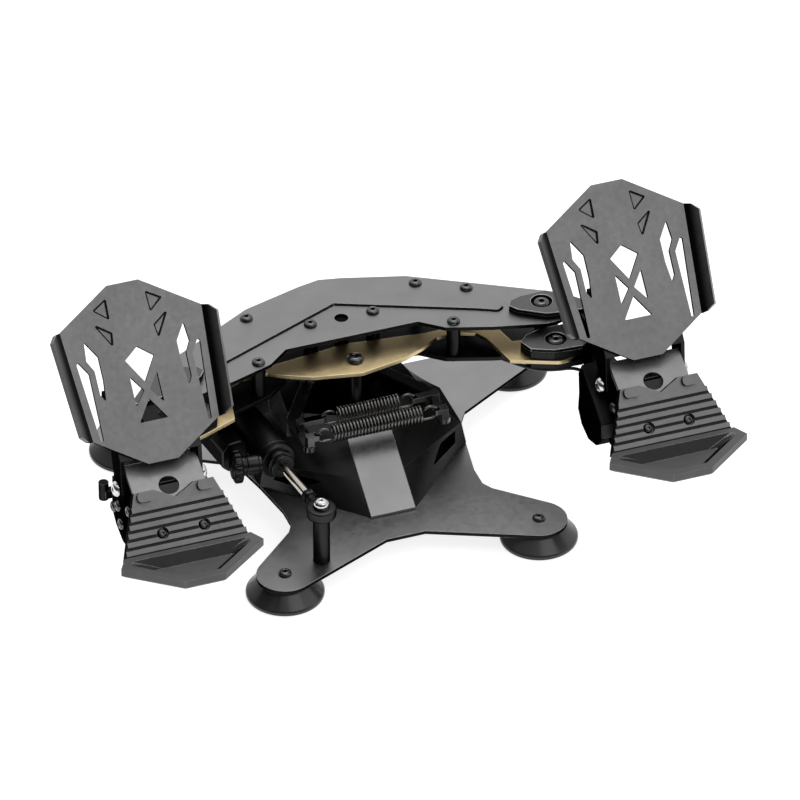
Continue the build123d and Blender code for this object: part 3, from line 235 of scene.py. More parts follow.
# Painted highlight along the gold link's rounded edges
GOLD_EDGE_HIGHLIGHT = Finish("link_gold_edge", (0.8, 0.68, 0.46), 0.3, depth=0.01)
HOUSING_MOULDED = Finish("housing_satin_black", (0.035, 0.035, 0.036), 0.3, Grain.MOULDED, 0.01, graze=0.3)
STRIPE_SATIN = Finish("stripe_satin_grey", 0.27, 0.24)
OXIDE = Finish("screw_black_oxide", 0.1, 0.2, Grain.SMOOTH, 0.01, metallic=0.95)
SATIN_BLACK = Finish("carrier_satin_black", (0.03, 0.03, 0.031), 0.34, Grain.POWDER, 0.01, graze=0.1)
FOOT_RUBBER = Finish("foot_satin_rubber", 0.036, 0.2, Grain.MOULDED, metallic=0.0)
DAMPER_BLACK = Finish("damper_satin_black", (0.035, 0.035, 0.036), 0.34, Grain.DRAWN, 0.008, graze=0.3)
KNOB_BLACK = Finish("knob_satin_black", (0.03, 0.03, 0.031), 0.3, Grain.MOULDED, 0.01, graze=0.2)
BRIGHT_STEEL = Finish("polished_steel", (0.62, 0.62, 0.61), 0.12, Grain.SMOOTH, 0.005)
GROUND_STEEL = Finish("ground_steel", (0.62, 0.62, 0.61), 0.28, Grain.DRAWN, 0.01)
SPRING_WIRE = Finish("spring_oiled_wire", (0.13, 0.128, 0.122), 0.24, Grain.DRAWN, 0.005)
ROD_STEEL = Finish("damper_rod_steel", (0.5, 0.475, 0.42), 0.16, Grain.SMOOTH, 0.005)
LEAD_SHEATH = Finish("lead_satin_sheath", (0.03, 0.03, 0.031), 0.45, Grain.MOULDED, metallic=0.0)
# Near-black that paints shade on the walls of plates, caps and sheets; the cam shaft is black with it too
BLACK_AND_WALL_SHADE = Finish("sheet_wall_black", 0.012, 0.35, Grain.SMOOTH, 0.01, graze=0.1)
# Pedal grey with painted shade towards each flange's fold
FLANGE_FOLD_SHADE = Finish("flange_grey_anodised", (0.205, 0.205, 0.206), 0.36, fold_shade=0.06)
HEEL_ANODISED = Finish("heel_grey_anodised", 0.21, 0.4)
# Painted shade in the heel block's grooves and inside the tray's rim
GROOVE_SHADE = Finish("groove_dark_anodised", 0.03, 0.4, depth=0.01, graze=0.2)
TRAY_ANODISED = Finish("tray_grey", 0.09, 0.4, Grain.MOULDED)
# Painted highlight along the heel tray's rounded rim
TRAY_EDGE_HIGHLIGHT = Finish("tray_edge", 0.42, 0.3, depth=0.01)
# Painted highlight along the pod housing's rounded edges
HOUSING_EDGE_HIGHLIGHT = Finish("housing_edge", 0.21, 0.3, Grain.MOULDED, 0.01, metallic=0.9)
BALL_STEEL = Finish("ball_dark_steel", 0.04, 0.2, Grain.SMOOTH, 0.005)
SOLDER_MASK = Finish("board_solder_mask", (0.02, 0.1, 0.045), 0.35, Grain.SMOOTH, 0.01, metallic=0.0)


@contextmanager
def opened(mesh: bpy.types.Mesh) -> Iterator[bmesh.types.BMesh]:
    """Open a mesh for editing, and write it back at the end.

    Args:
        mesh: The mesh.

    Yields:
        Its points, edges and faces to work on.
    """
    work = bmesh.new()
    work.from_mesh(mesh)
    yield work
    work.to_mesh(mesh)
    work.free()


def read(items: bpy.types.bpy_prop_collection, key: str) -> Array:
    """Read a property of three numbers from each of a mesh's points or faces.

    Args:
        items: The points or faces.
        key: The property's name.

    Returns:
        A row for each of them.
    """
    values = np.empty(3 * len(items))
    items.foreach_get(key, values)
    return values.reshape(-1, 3)


@dataclass
class Patch:
    """Points and four-sided faces of one surface, with a finish's place for each face."""

    points: Array
    faces: Array
    places: Array

    @classmethod
    def grid(cls, points: Array, place: int = 0, close_rows: bool = False) -> "Patch":
        """Join a grid of points into faces: row to row, and column to column with the last joined to the first.

        Args:
            points: Rows by columns by 3.
            place: Which of the piece's finishes the faces take.
            close_rows: Join the last row to the first as well.

        Returns:
            The surface.
        """
        rows, columns = points.shape[:2]
        index = np.arange(rows * columns).reshape(rows, columns)
        if close_rows:
            index = np.vstack([index, index[:1]])
        index = np.hstack([index, index[:, :1]])
        corners = (index[:-1, :-1], index[:-1, 1:], index[1:, 1:], index[1:, :-1])
        faces = np.stack(corners, axis=-1).reshape(-1, 4)
        return cls(points.reshape(-1, 3), faces, np.full(len(faces), place))

    @classmethod
    def joined(cls, patches: Sequence["Patch"]) -> "Patch":
        """Put several surfaces together, their points one after another.

        Args:
            patches: The surfaces.

        Returns:
            The one surface.
        """
        starts = np.cumsum([0] + [len(patch.points) for patch in patches[:-1]])
        return cls(
            np.vstack([patch.points for patch in patches]),
            np.vstack([patch.faces + start for patch, start in zip(patches, starts)]),
            np.concatenate([patch.places for patch in patches]),
        )

    def piece(self, name: str, finishes: Sequence[Finish], crease: float = 32) -> bpy.types.Object:
        """Put the surface into a mesh object, with its poles and seams closed.

        Args:
            name: The piece's name.
            finishes: The finishes that places count through.
            crease: Angle in degrees above which an edge stays sharp.

        Returns:
            The object, at the origin.
        """
        mesh = bpy.data.meshes.new(name)
        mesh.from_pydata(self.points.tolist(), [], self.faces.tolist())
        mesh.polygons.foreach_set("material_index", self.places.astype(np.int32))
        with opened(mesh) as work:
            bmesh.ops.remove_doubles(work, verts=work.verts, dist=SEAM)
            bmesh.ops.recalc_face_normals(work, faces=work.faces)
        return placed(name, mesh, finishes, crease)


def placed(name: str, mesh: bpy.types.Mesh, finishes: Sequence[Finish], crease: float) -> bpy.types.Object:
    """Link a mesh as an object with its finishes, shaded smooth.

    Args:
        name: The object's name.
        mesh: Its mesh, whose faces already hold their finishes' places.
        finishes: The finishes that the places count through.
        crease: Angle in degrees above which an edge stays sharp.

    Returns:
        The object, at the origin.
    """
    places = np.empty(len(mesh.polygons), np.int32)
    mesh.polygons.foreach_get("material_index", places)
    mesh.materials.clear()
    for finish in finishes:
        mesh.materials.append(finish.material())
    mesh.polygons.foreach_set("material_index", places)
    mesh.polygons.foreach_set("use_smooth", np.ones(len(mesh.polygons), bool))
    mesh.set_sharp_from_angle(angle=math.radians(crease))
    piece = bpy.data.objects.new(name, mesh)
    bpy.context.scene.collection.objects.link(piece)
    return piece


def side_axes(way: Sequence[float]) -> tuple[Array, Array]:
    """Two unit vectors square to a direction and to each other.

    Args:
        way: The direction.

    Returns:
        The first, which is level where the direction isn't upright, and the second.
    """
    way = unit(way)
    level = np.cross((0, 0, 1), way)
    first = unit(level) if np.linalg.norm(level) > 1e-6 else np.array([1.0, 0.0, 0.0])
    return first, np.cross(way, first)


def turned(profile: Sequence[tuple[float, float]], centre: Sequence[float], way: Sequence[float] = (0, 0, 1),
           sides: int = 64, factor: Callable[[Array, Array], Array] | None = None, place: int = 0) -> Patch:
    """Turn a profile about a line: point = centre + way * reach + radius * (cos a * u + sin a * v).

    Args:
        profile: Pairs of radius and reach in millimetres; a radius of 0 closes the end in a pole.
        centre: Where the reach is 0, in millimetres from the main shaft's foot.
        way: The line's direction.
        sides: Number of points round.
        factor: What each radius is multiplied by, from arrays of row number and angle.
        place: Which of the piece's finishes it takes.

    Returns:
        The surface, in the CAD frame.
    """
    radius, reach = np.array(profile, float).T
    angle = np.linspace(0, 2 * np.pi, sides, endpoint=False)
    rows, around = np.meshgrid(np.arange(len(radius)), angle, indexing="ij")
    radii = radius[:, None] * (factor(rows, around) if factor else 1.0)
    first, second = side_axes(way)
    points = (
        np.asarray(centre, float)
        + unit(way) * reach[:, None, None]
        + radii[..., None] * (np.cos(around)[..., None] * first + np.sin(around)[..., None] * second)
    )
    return Patch.grid(shaft_frame(points), place)


def rounded(profile: Sequence[tuple[float, float]], radius: float, steps: int = 4) -> list[tuple[float, float]]:
    """Round a profile's inner corners: each becomes points on the curve (1-t)^2 a + 2t(1-t) b + t^2 c.

    Args:
        profile: The corners.
        radius: How far from a corner the curve starts, at most a third of a run.
        steps: Number of runs in a corner.

    Returns:
        The profile with its corners rounded.
    """
    corners = np.array(profile, float)
    before, here, after = corners[:-2], corners[1:-1], corners[2:]
    back, ahead = before - here, after - here
    back_run = np.linalg.norm(back, axis=1, keepdims=True)
    ahead_run = np.linalg.norm(ahead, axis=1, keepdims=True)
    start = here + back * (np.minimum(radius, back_run / 3) / back_run)
    end = here + ahead * (np.minimum(radius, ahead_run / 3) / ahead_run)
    share = np.linspace(0, 1, steps + 1)[:, None, None]
    curve = (1 - share) ** 2 * start + 2 * share * (1 - share) * here + share**2 * end
    inner = curve.transpose(1, 0, 2).reshape(-1, 2)
    return [tuple(point) for point in np.vstack([corners[:1], inner, corners[-1:]])]


def carried(path: Array, radius: float, sides: int = 12, place: int = 0) -> Patch:
    """Carry a circle along a path, with closed ends.

    At each point the circle stands square to the path, on axes got by turning the last ones the least.

    Args:
        path: Points in the CAD frame, in metres.
        radius: The circle's radius, in millimetres.
        sides: Number of points round.
        place: Which of the piece's finishes it takes.

    Returns:
        The surface.
    """
    ways = np.gradient(path, axis=0)
    ways /= np.linalg.norm(ways, axis=1, keepdims=True)
    first = np.empty_like(path)
    first[0] = side_axes(ways[0])[0]
    for step in range(1, len(path)):
        turned_axis = first[step - 1] - ways[step] * (first[step - 1] @ ways[step])
        first[step] = turned_axis / np.linalg.norm(turned_axis)
    second = np.cross(ways, first)
    angle = np.linspace(0, 2 * np.pi, sides, endpoint=False)
    ring = np.cos(angle)[None, :, None] * first[:, None] + np.sin(angle)[None, :, None] * second[:, None]
    body = path[:, None] + ring * radius * MM
    ends = [np.repeat(path[end][None, None], sides, axis=1) for end in (0, -1)]
    return Patch.grid(np.vstack([ends[0], body, ends[1]]), place)


def hexagon_rows(start: int, end: int) -> Callable[[Array, Array], Array]:
    """Make some of a profile's rows six-sided, by the factor cos 30 / cos(a mod 60 - 30) on their radius.

    Args:
        start: The first of the rows.
        end: The row after the last.

    Returns:
        What turned takes as its factor.
    """

    def factor(rows: Array, around: Array) -> Array:
        """Six-sided inside the rows, round outside them."""
        six = np.cos(np.pi / 6) / np.cos(np.mod(around, np.pi / 3) - np.pi / 6)
        return np.where((rows >= start) & (rows < end), six, 1.0)

    return factor


@dataclass(frozen=True)
class ButtonScrew:
    """A button-head screw with a hex socket, as one closed profile turned about its axis.

    Head, socket and shank are radii. The lip is the flat ring round the socket, the rim is the edge's height
    under the dome, and each bevel is a corner cut off, inwards and along.
    """

    head: float = 4.75
    height: float = 2.8
    socket: float = 1.75
    shank: float = 2.5
    length: float = 11
    socket_depth: float = 1.9
    lip: float = 0.35
    rim: float = 0.5
    socket_bevel: float = 0.25
    seat_bevel: tuple = (0.15, 0.12)
    tip_bevel: tuple = (0.4, 0.5)

    def patch(self, seat: Sequence[float], way: Sequence[float] = (0, 0, 1), place: int = 0) -> Patch:
        """One screw, whose dome is a quarter of an ellipse from the lip round the socket to the rim.

        Args:
            seat: Where the head's underside meets its seat, in millimetres from the shaft's foot.
            way: The direction that the head faces.
            place: Which of the piece's finishes it takes.

        Returns:
            The surface.
        """
        dome = np.linspace(0, np.pi / 2, 8)
        crown, floor = self.socket + self.lip, self.height - self.socket_depth
        radii = crown + (self.head - crown) * np.sin(dome)
        rises = self.rim + (self.height - self.rim) * np.cos(dome)
        profile = [(0, floor), (self.socket, floor), (self.socket, self.height - self.socket_bevel),
                   (crown, self.height), *zip(radii, rises), (self.head, self.seat_bevel[1]),
                   (self.head - self.seat_bevel[0], 0), (self.shank, 0), (self.shank, self.tip_bevel[1] - self.length),
                   (self.shank - self.tip_bevel[0], -self.length), (0, -self.length)]
        return turned(profile, seat, way, 36, hexagon_rows(1, 3), place)


class Place(IntEnum):
    """What a face of a dressed piece is, which is also its finish's place."""

    FACE = 0
    EDGE = 1
    WALL = 2
    EXTRA = 3


@dataclass(frozen=True)
class Faces:
    """A mesh's faces: unit normals, centres in metres, and each one's place in the dressing's finishes."""

    normals: Array
    centres: Array
    places: Array


@dataclass(frozen=True)
class Dressing:
    """How a CAD piece is dressed: its faces, its rounded edges, and its walls, which stand along an axis.

    Widths are in millimetres, and edges that turn by more than the crease, in degrees, are rounded. A face
    is a wall where the cosine between its normal and the axis is less than upright. Where the edges' finish is
    brighter than the faces', it is a painted highlight, and the walls' finish is a painted shade.
    """

    faces: Finish
    width: float = 0.35
    edges: Finish | None = None
    walls: Finish | None = None
    axis: tuple = (0, 0, 1)
    crease: float = 28
    extra: Finish | None = None
    upright: float = 0.3

    def finishes(self) -> list[Finish]:
        """The piece's finishes: faces, edges, walls, and the extra one."""
        return [self.faces, self.edges or self.faces, self.walls or self.faces, self.extra or self.faces]


@dataclass
class Assembly:
    """What every sub-assembly shares: dressing CAD nodes and putting pieces on their bodies."""

    made: list = field(default_factory=list, init=False)

    def keep(self, piece: bpy.types.Object, body: str, slot: str, *nodes: str) -> bpy.types.Object:
        """Put a piece on a body, in place of CAD nodes.

        Args:
            piece: The finished piece.
            body: The CAD body it moves with, or "" for a piece that is left on no body.
            slot: The record's material slot; not used.
            nodes: The CAD nodes that it stands for.

        Returns:
            The piece.
        """
        if body:
            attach(piece, body)
        if nodes:
            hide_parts(*nodes)
        self.made.append(piece)
        log.info("made %s on %s", piece.name, body or "two bodies")
        return piece

    def join(self, name: str, patches: Sequence[Patch], finishes: Sequence[Finish], body: str, slot: str, node: str,
             crease: float = 32) -> None:
        """Join patches into one piece, put it on its body, and let it stand for a CAD node."""
        self.keep(Patch.joined(patches).piece(name, finishes, crease), body, slot, node)

    def soften(self, node: str, body: str, slot: str, dressing: Dressing,
               sort: Callable[[Faces], Array] | None = None) -> bpy.types.Object:
        """Copy a CAD node, merge its triangles into whole faces, and round its edges.

        Args:
            node: The CAD node that the copy stands for.
            body: The CAD body it moves with.
            slot: The record's material slot.
            dressing: Its finishes and its edges' width.
            sort: Gives each face its finish's place.

        Returns:
            The dressed copy.
        """
        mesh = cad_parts[node].data.copy()
        with opened(mesh) as work:
            bmesh.ops.remove_doubles(work, verts=work.verts, dist=CAD_SEAM)
            bmesh.ops.dissolve_limit(work, angle_limit=math.radians(FLAT_ANGLE), verts=work.verts, edges=work.edges)
        normals = read(mesh.polygons, "normal")
        # Upright faces take the walls' finish, which is painted shade where the dressing has one
        places = np.where(np.abs(normals @ unit(dressing.axis)) < dressing.upright, Place.WALL, Place.FACE)
        if sort:
            places = sort(Faces(normals, read(mesh.polygons, "center"), places))
        mesh.polygons.foreach_set("material_index", places.astype(np.int32))
        piece = placed(f"{node}_dressed", mesh, dressing.finishes(), dressing.crease)
        bevel = piece.modifiers.new("edges", "BEVEL")
        bevel.width = dressing.width * MM
        bevel.segments = 3
        bevel.limit_method = "ANGLE"
        bevel.angle_limit = math.radians(dressing.crease)
        bevel.miter_outer = "MITER_ARC"
        # The rounded edges take the edges' finish, a painted highlight where it is brighter than the faces
        bevel.material = Place.EDGE if dressing.edges else -1
        shading = piece.modifiers.new("flats", "WEIGHTED_NORMAL")
        shading.keep_sharp = True
        shading.weight = 90
        return self.keep(piece, body, slot, node)

    def finish_node(self, node: str, finish: Finish) -> None:
        """Give a CAD node that stays as it is its finish.

        Args:
            node: The CAD node.
            finish: Its one finish.
        """
        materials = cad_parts[node].data.materials
        materials.clear()
        materials.append(finish.material())
        log.info("finished CAD node %s", node)


@dataclass
class Base(Assembly):
    """Base plate, feet, housing and what stands on them."""

    plate_top: float = 17
    foot_places: tuple = ((-95.5, -149), (95.5, -149), (-146.8, 48.2), (146.8, 48.2))
    foot_rim: float = 28
    foot_top: float = 17
    foot_height: float = 14
    link_post: float = 5
    link_post_y: float = -29.5
    link_top: float = 98.4

    def feet(self) -> None:
        """Four flared feet: one profile with a short upright rim and a straight cone, turned four times."""
        profile = rounded(
            [(0, 0.01), (self.foot_rim - 0.8, 0.01), (self.foot_rim, 0.9), (self.foot_rim, 2.9),
             (self.foot_rim - 0.6, 3.9), (self.foot_top + 0.2, 13.3), (self.foot_top - 0.8, self.foot_height),
             (0, self.foot_height)], 0.5)
        patches = [turned(profile, (x, y, 0), sides=96) for x, y in self.foot_places]
        self.join("flared_feet", patches, [FOOT_RUBBER], "base", "rubber_black", "rubber_feet", 24)

    def screws(self) -> None:
        """Button screws through the plate into the feet."""
        screw = ButtonScrew(length=12.5)
        patches = [screw.patch((x, y, self.plate_top)) for x, y in self.foot_places]
        self.join("foot_button_screws", patches, [OXIDE], "base", "screw_black", "foot_screws")

    def posts(self) -> None:
        """The link's pivot post, with its screw head over the gold link, and the damper's post."""
        head = ButtonScrew(head=6.1, height=3.5, socket=2.3, shank=4, length=3.8, socket_depth=2.2)
        height = self.link_top - head.length - self.plate_top
        profile = [(0, 0), (self.link_post, 0), (self.link_post, height), (head.shank, height), (0, height)]
        post = turned(rounded(profile, 0.3), (0, self.link_post_y, self.plate_top), sides=48)
        screw = head.patch((0, self.link_post_y, self.link_top), place=1)
        self.join("link_pivot_post", [post, screw], [SATIN_BLACK, OXIDE], "base", "post_steel", "link_post")
        self.finish_node("damper_post", SATIN_BLACK)

    def build(self) -> None:
        """Make and dress the base."""
        self.soften("base_plate", "base", "plate_black", Dressing(BASE_COAT, 0.4, PEDAL_EDGE_HIGHLIGHT, BLACK_AND_WALL_SHADE))
        self.soften("pod_housing", "base", "housing_black", Dressing(HOUSING_MOULDED, 0.5, HOUSING_EDGE_HIGHLIGHT, crease=5))
        self.soften("pod_stripe", "base", "stripe_grey", Dressing(STRIPE_SATIN, 0.5, crease=12))
        self.feet()
        self.screws()
        self.posts()
        for node, finish in (("inlet_socket", GROUND_STEEL), ("sensor_board", SOLDER_MASK),
                             ("bearing_column", SATIN_BLACK), ("main_bearings", GROUND_STEEL)):
            self.finish_node(node, finish)


@dataclass
class Beam(Assembly):
    """The rocking beam's two plates, posts and screws, the cam shaft and the gold link."""

    top: float = 115
    lower_bottom: float = 85
    band_slope: float = 45
    screw_places: tuple = ((64.1, 22), (23.6, -0.5), (73.6, -31.8), (96.5, 4.2))

    def screws(self) -> None:
        """Eight button screws on top and eight under the lower plate."""
        screw = ButtonScrew()
        places = [(side * x, y) for side in (1, -1) for x, y in self.screw_places]
        patches = [screw.patch((x, y, self.top)) for x, y in places]
        patches += [screw.patch((x, y, self.lower_bottom), (0, 0, -1)) for x, y in places]
        self.join("beam_button_screws", patches, [OXIDE], "beam", "screw_black", "beam_screws")

    def band_slopes(self, faces: Faces) -> Array:
        """Sort the top plate's faces: the band's front slopes take painted shade and its rear ones a painted highlight.

        Args:
            faces: The plate's faces.

        Returns:
            Each face's place.
        """
        sloping = np.abs(np.abs(faces.normals[:, 2]) - math.cos(math.radians(self.band_slope))) < 0.2
        slopes = np.where(faces.normals[:, 1] < -0.1, Place.WALL, Place.EDGE)
        return np.where(sloping, slopes, faces.places)

    def build(self) -> None:
        """Make and dress the beam."""
        self.soften("beam_top_plate", "beam", "beam_grey", Dressing(BEAM_ANODISED, 0.3, BEAM_EDGE_HIGHLIGHT, BLACK_AND_WALL_SHADE),
                    self.band_slopes)
        self.soften("beam_bottom_plate", "beam", "lower_black", Dressing(UNDER_ANODISED, 0.3))
        self.soften("gold_link", "link", "gold", Dressing(GOLD_ANODISED, 0.35, GOLD_EDGE_HIGHLIGHT))
        self.screws()
        for node, finish in (("beam_standoffs", SATIN_BLACK), ("cam_shaft", BLACK_AND_WALL_SHADE),
                             ("damper_pin", GROUND_STEEL)):
            self.finish_node(node, finish)


@dataclass
class Centring(Assembly):
    """Two hooked extension springs, and the roller arms that they pull together.

    Each spring is its node's name, its coil's length, its whole turns on each side, and its y. The
    hook's start and middle are counted from the coil's end. The field still, how much of a spring's middle
    would stay put when an arm swings, is not used.
    """

    wire: float = 1.9
    outside: float = 13
    height: float = 73
    hook: float = 5.2
    hook_middle: float = 6.5
    hook_start: float = 3.2
    hook_bend: tuple = (-90, 140)
    part_turn: float = 147
    steps_a_turn: int = 24
    still: float = 2
    springs: tuple = (("front_spring", 67.0, 13, -75.0), ("rear_spring", 46.0, 9, -56.0))

    def path(self, body: float, whole_turns: int, y: float) -> Array:
        """The wire's centre line: a helix, an easing run on each side, and a round hook.

        The helix is (pitch t, r sin 2 pi t, r cos 2 pi t). The easing run is a cubic that leaves the helix
        along it and joins the hook's circle, which lies upright in the spring's own plane.

        Args:
            body: The coil's length.
            whole_turns: Turns from the middle to where the coil ends, less the last part turn.
            y: How far forward the spring lies.

        Returns:
            Points in the CAD frame.
        """
        radius = (self.outside - self.wire) / 2
        last = whole_turns + self.part_turn / 360
        pitch = body / 2 / last
        turn = np.linspace(-last, last, int(last * 2 * self.steps_a_turn))
        coil = np.stack([pitch * turn, radius * np.sin(2 * np.pi * turn), radius * np.cos(2 * np.pi * turn)], 1)
        end_way = np.array([pitch, 2 * np.pi * radius * np.cos(2 * np.pi * last),
                            -2 * np.pi * radius * np.sin(2 * np.pi * last)])
        start = np.array([body / 2 + self.hook_start, 0, -self.hook])
        run = np.linalg.norm(start - coil[-1]) * 1.1
        share = np.linspace(0, 1, 14)[1:-1, None]
        ease = (
            (2 * share**3 - 3 * share**2 + 1) * coil[-1]
            + (share**3 - 2 * share**2 + share) * unit(end_way) * run
            + (3 * share**2 - 2 * share**3) * start
            + (share**3 - share**2) * np.array([1.0, 0, 0]) * run
        )
        bend = np.radians(np.linspace(*self.hook_bend, 34))
        middle = body / 2 + self.hook_middle
        ring = np.stack([middle + self.hook * np.cos(bend), 0 * bend, self.hook * np.sin(bend)], 1)
        right = np.vstack([ease, start, ring])
        left = (right * (-1, -1, 1))[::-1]
        return shaft_frame(np.vstack([left, coil, right]) + (0, y, self.height))

    def build(self) -> None:
        """Make the springs and dress the arms and rollers."""
        for node, body, turns, y in self.springs:
            path = self.path(body, turns, y)
            middle = len(path) // 2
            for side, sign, half in (("left", -1, path[: middle + 1]), ("right", 1, path[middle:])):
                wire = carried(half, self.wire / 2).piece(f"{side}_half_of_{node}", [SPRING_WIRE], 60)
                self.keep(wire, "", "spring_steel", node)
                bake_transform(wire)
        for side in ("left", "right"):
            self.soften(f"{side}_roller_arm", f"{side}_arm", "post_steel", Dressing(OXIDE, 0.6))
            self.finish_node(f"{side}_roller", GROUND_STEEL)


@dataclass
class Damper(Assembly):
    """Ball, rod end, rod, barrel and second body along one level line, and collar and knob on another.

    Lengths along the first line are counted from the ball's middle, and the slotted lug's from the pin. Those
    along the second are counted from the barrel's middle line. A play is the room left between two pieces,
    and yaw is how many degrees the beam turns each way.
    """

    post: tuple = (-65.8, -142.5, 60)
    pin: tuple = (-85, -1, 60)
    ball: float = 7
    ball_latitude: float = 59.4
    neck: float = 6
    screw_rise: float = 5.5
    eye: float = 10.75
    eye_bore: float = 7.05
    eye_mouth: float = 6
    eye_half: float = 4
    eye_play: float = 0.02
    squareness: float = 0.55
    rod: float = 3.3
    rod_length: float = 84
    barrel_front: float = 58
    barrel_length: float = 64
    barrel: float = 13.5
    rod_play: float = 0.06
    knob_along: float = 8.5
    knob_angle: float = -15
    knob_face: float = 9.5
    grooves: int = 10
    groove_depth: float = 0.1
    slot_radius: float = 5.2
    lug_rear: float = 10
    lug_half_width: float = 11
    lug_half_height: float = 5
    yaw: float = 15
    way: Array = field(init=False)
    aside: Array = field(init=False)
    knob_way: Array = field(init=False)
    knob_centre: Array = field(init=False)

    def __post_init__(self) -> None:
        """Work out the damper's line, the level one square to it, and the knob's, which is that one turned."""
        self.way = unit(np.subtract(self.pin, self.post))
        self.aside = np.cross((0, 0, 1), self.way)
        angle = math.radians(self.knob_angle)
        self.knob_way = self.aside * math.cos(angle) - self.way * math.sin(angle)
        self.knob_centre = np.array(self.post) + self.way * (self.barrel_front + self.knob_along)

    def ball_joint(self) -> None:
        """The ball on the post, its upright neck, and the bright screw on top."""
        latitude = np.linspace(-1, 1, 16) * math.radians(self.ball_latitude)
        round_part = zip(self.ball * np.cos(latitude), self.ball * np.sin(latitude))
        ball = turned([(0, -self.neck), *round_part, (0, self.neck)], self.post, sides=56)
        screw = ButtonScrew(head=5.4, height=4.2, socket=1.5, length=3)
        screw = screw.patch(np.add(self.post, (0, 0, self.screw_rise)), place=1)
        self.join("post_ball_and_screw", [ball, screw], [BALL_STEEL, BRIGHT_STEEL], "base", "bright_steel", "post_ball")

    def rod_end(self) -> None:
        """Round eye with rolled edges, a tapering shank and a hex nut.

        The eye is a ring. Its section is that of a rounded square, cos a and sin a each to the power of the
        squareness, and on the inner side it follows the ball: radius^2 = bore^2 - height^2.
        """
        section = np.linspace(0, 2 * np.pi, 22, endpoint=False)
        waves = np.stack([np.cos(section), np.sin(section)])
        out, up = np.sign(waves) * np.abs(waves) ** self.squareness
        heights = self.eye_half * up
        hollow = np.sqrt(np.maximum(self.eye_bore**2 - heights**2, 0)) + self.eye_play
        outside = (self.eye + self.eye_bore + (self.eye - self.eye_bore) * out) / 2
        radii = np.where(out < 0, np.maximum(hollow, self.eye_mouth), outside)[:, None]
        around = np.linspace(0, 2 * np.pi, 72, endpoint=False)
        points = np.stack([radii * np.cos(around), radii * np.sin(around), heights[:, None] + 0 * around], -1)
        ring = Patch.grid(shaft_frame(points + np.array(self.post)), close_rows=True)
        shank = turned(rounded([(0, 9.4), (4.6, 9.4), (4.1, 13), (4.1, 16.5), (0, 16.5)], 0.6), self.post, self.way, 32)
        nut = turned([(0, 17), (4.6, 17), (5.4, 17.5), (5.4, 21.5), (4.6, 22), (0, 22)], self.post, self.way, 36,
                     hexagon_rows(2, 4))
        neck = turned([(0, 16.4), (4.1, 16.4), (4.1, 17.1), (0, 17.1)], self.post, self.way, 32)
        self.join("rod_end_eye", [ring, shank, neck, nut], [DAMPER_BLACK], "damper_rod_body", "post_steel",
                  "damper_rod_end")

    def bright_rod(self) -> None:
        """The polished rod, from the nut into the barrel."""
        profile = rounded([(0, 21), (self.rod, 21), (self.rod, self.rod_length), (0, self.rod_length)], 0.3)
        self.join("polished_rod", [turned(profile, self.post, self.way, 48)], [ROD_STEEL], "damper_rod_body",
                  "bright_steel", "damper_rod")

    def barrel_body(self) -> None:
        """Barrel with a stepped gland, a band, a chamfered rear cap and its slotted lug."""
        front = self.barrel_front
        bore = self.rod + self.rod_play
        profile = rounded([
            (bore, front + 9), (bore, front), (8.2, front), (8.9, front + 0.7), (8.9, front + 2.4), (8.2, front + 2.8),
            (8.2, front + 3.6), (10, front + 4), (10, front + 8), (12.7, front + 8), (self.barrel, front + 8.9),
            (self.barrel, front + 13), (self.barrel - 0.5, front + 13.4), (self.barrel - 0.5, front + 14.4),
            (self.barrel, front + 14.8), (self.barrel, front + self.barrel_length - 1.2),
            (self.barrel - 1.2, front + self.barrel_length), (0, front + self.barrel_length),
        ], 0.3, 3)
        tube = turned(profile, self.post, self.way, 72)
        reach = self.barrel - 1
        collar = turned(rounded([(0, reach), (6.6, reach), (6.6, reach + 2), (7.25, reach + 2.6), (7.25, reach + 10),
                                 (6.7, reach + 10.5), (6.7, reach + 11.4), (7.25, reach + 11.9), (7.25, reach + 14),
                                 (0, reach + 14)], 0.3, 3), self.knob_centre, self.knob_way, 56)
        self.join("damper_tube_and_collar", [tube, collar, self.slotted_lug()], [DAMPER_BLACK], "damper_barrel_body",
                  "damper_grey", "damper_barrel")

    def slotted_lug(self) -> Patch:
        """Flat lug behind the barrel: straight walls between a rectangle and the slot round the beam's pin.

        Both outlines are read at the same angles from the slot's middle, the rectangle as the reach to its
        nearest side and the slot as the reach to its rim. Shift is half of what the pin drifts sideways at
        full yaw.

        Returns:
            The surface.
        """
        shift = math.hypot(*self.pin[:2]) * (1 - math.cos(math.radians(self.yaw))) / 2
        reach = math.dist(self.pin, self.post)
        front = reach - self.barrel_front - self.barrel_length + 1
        around = np.linspace(0, 2 * np.pi, 144, endpoint=False)
        along, across = np.cos(around), np.sin(around)
        side_reach = self.lug_half_width + shift * np.where(across > 0, 1, -1)
        end_reach = np.where(along > 0, self.lug_rear, front)
        outer = 1 / np.maximum(np.abs(along) / end_reach, np.abs(across) / side_reach)
        inner = shift * np.abs(across) + np.sqrt(self.slot_radius**2 - (shift * along) ** 2)
        flat = np.stack([outer, outer, inner, inner])[..., None] * np.stack([along, across], 1)
        rise = np.array([1, -1, -1, 1])[:, None, None] * self.lug_half_height
        points = (np.array(self.post) + self.way * (reach + flat[..., :1]) + self.aside * (flat[..., 1:] - shift)
                  + np.array([0, 0, 1]) * rise)
        return Patch.grid(shaft_frame(points), close_rows=True)

    def knob(self) -> None:
        """Knob whose rim has ten hollows: r = 12 * (1 - 0.1 * cos(5a)^16), with a raised face."""
        start = self.barrel - 1 + 14.4
        profile = rounded([(0, start), (10.8, start), (12, start + 0.9), (12, start + 5.1), (11.2, start + 6),
                           (8.9, start + 6), (8.5, start + 7.4), (0, start + 7.4)], 0.4, 3)
        rim = np.array(profile)[:, 0] > self.knob_face

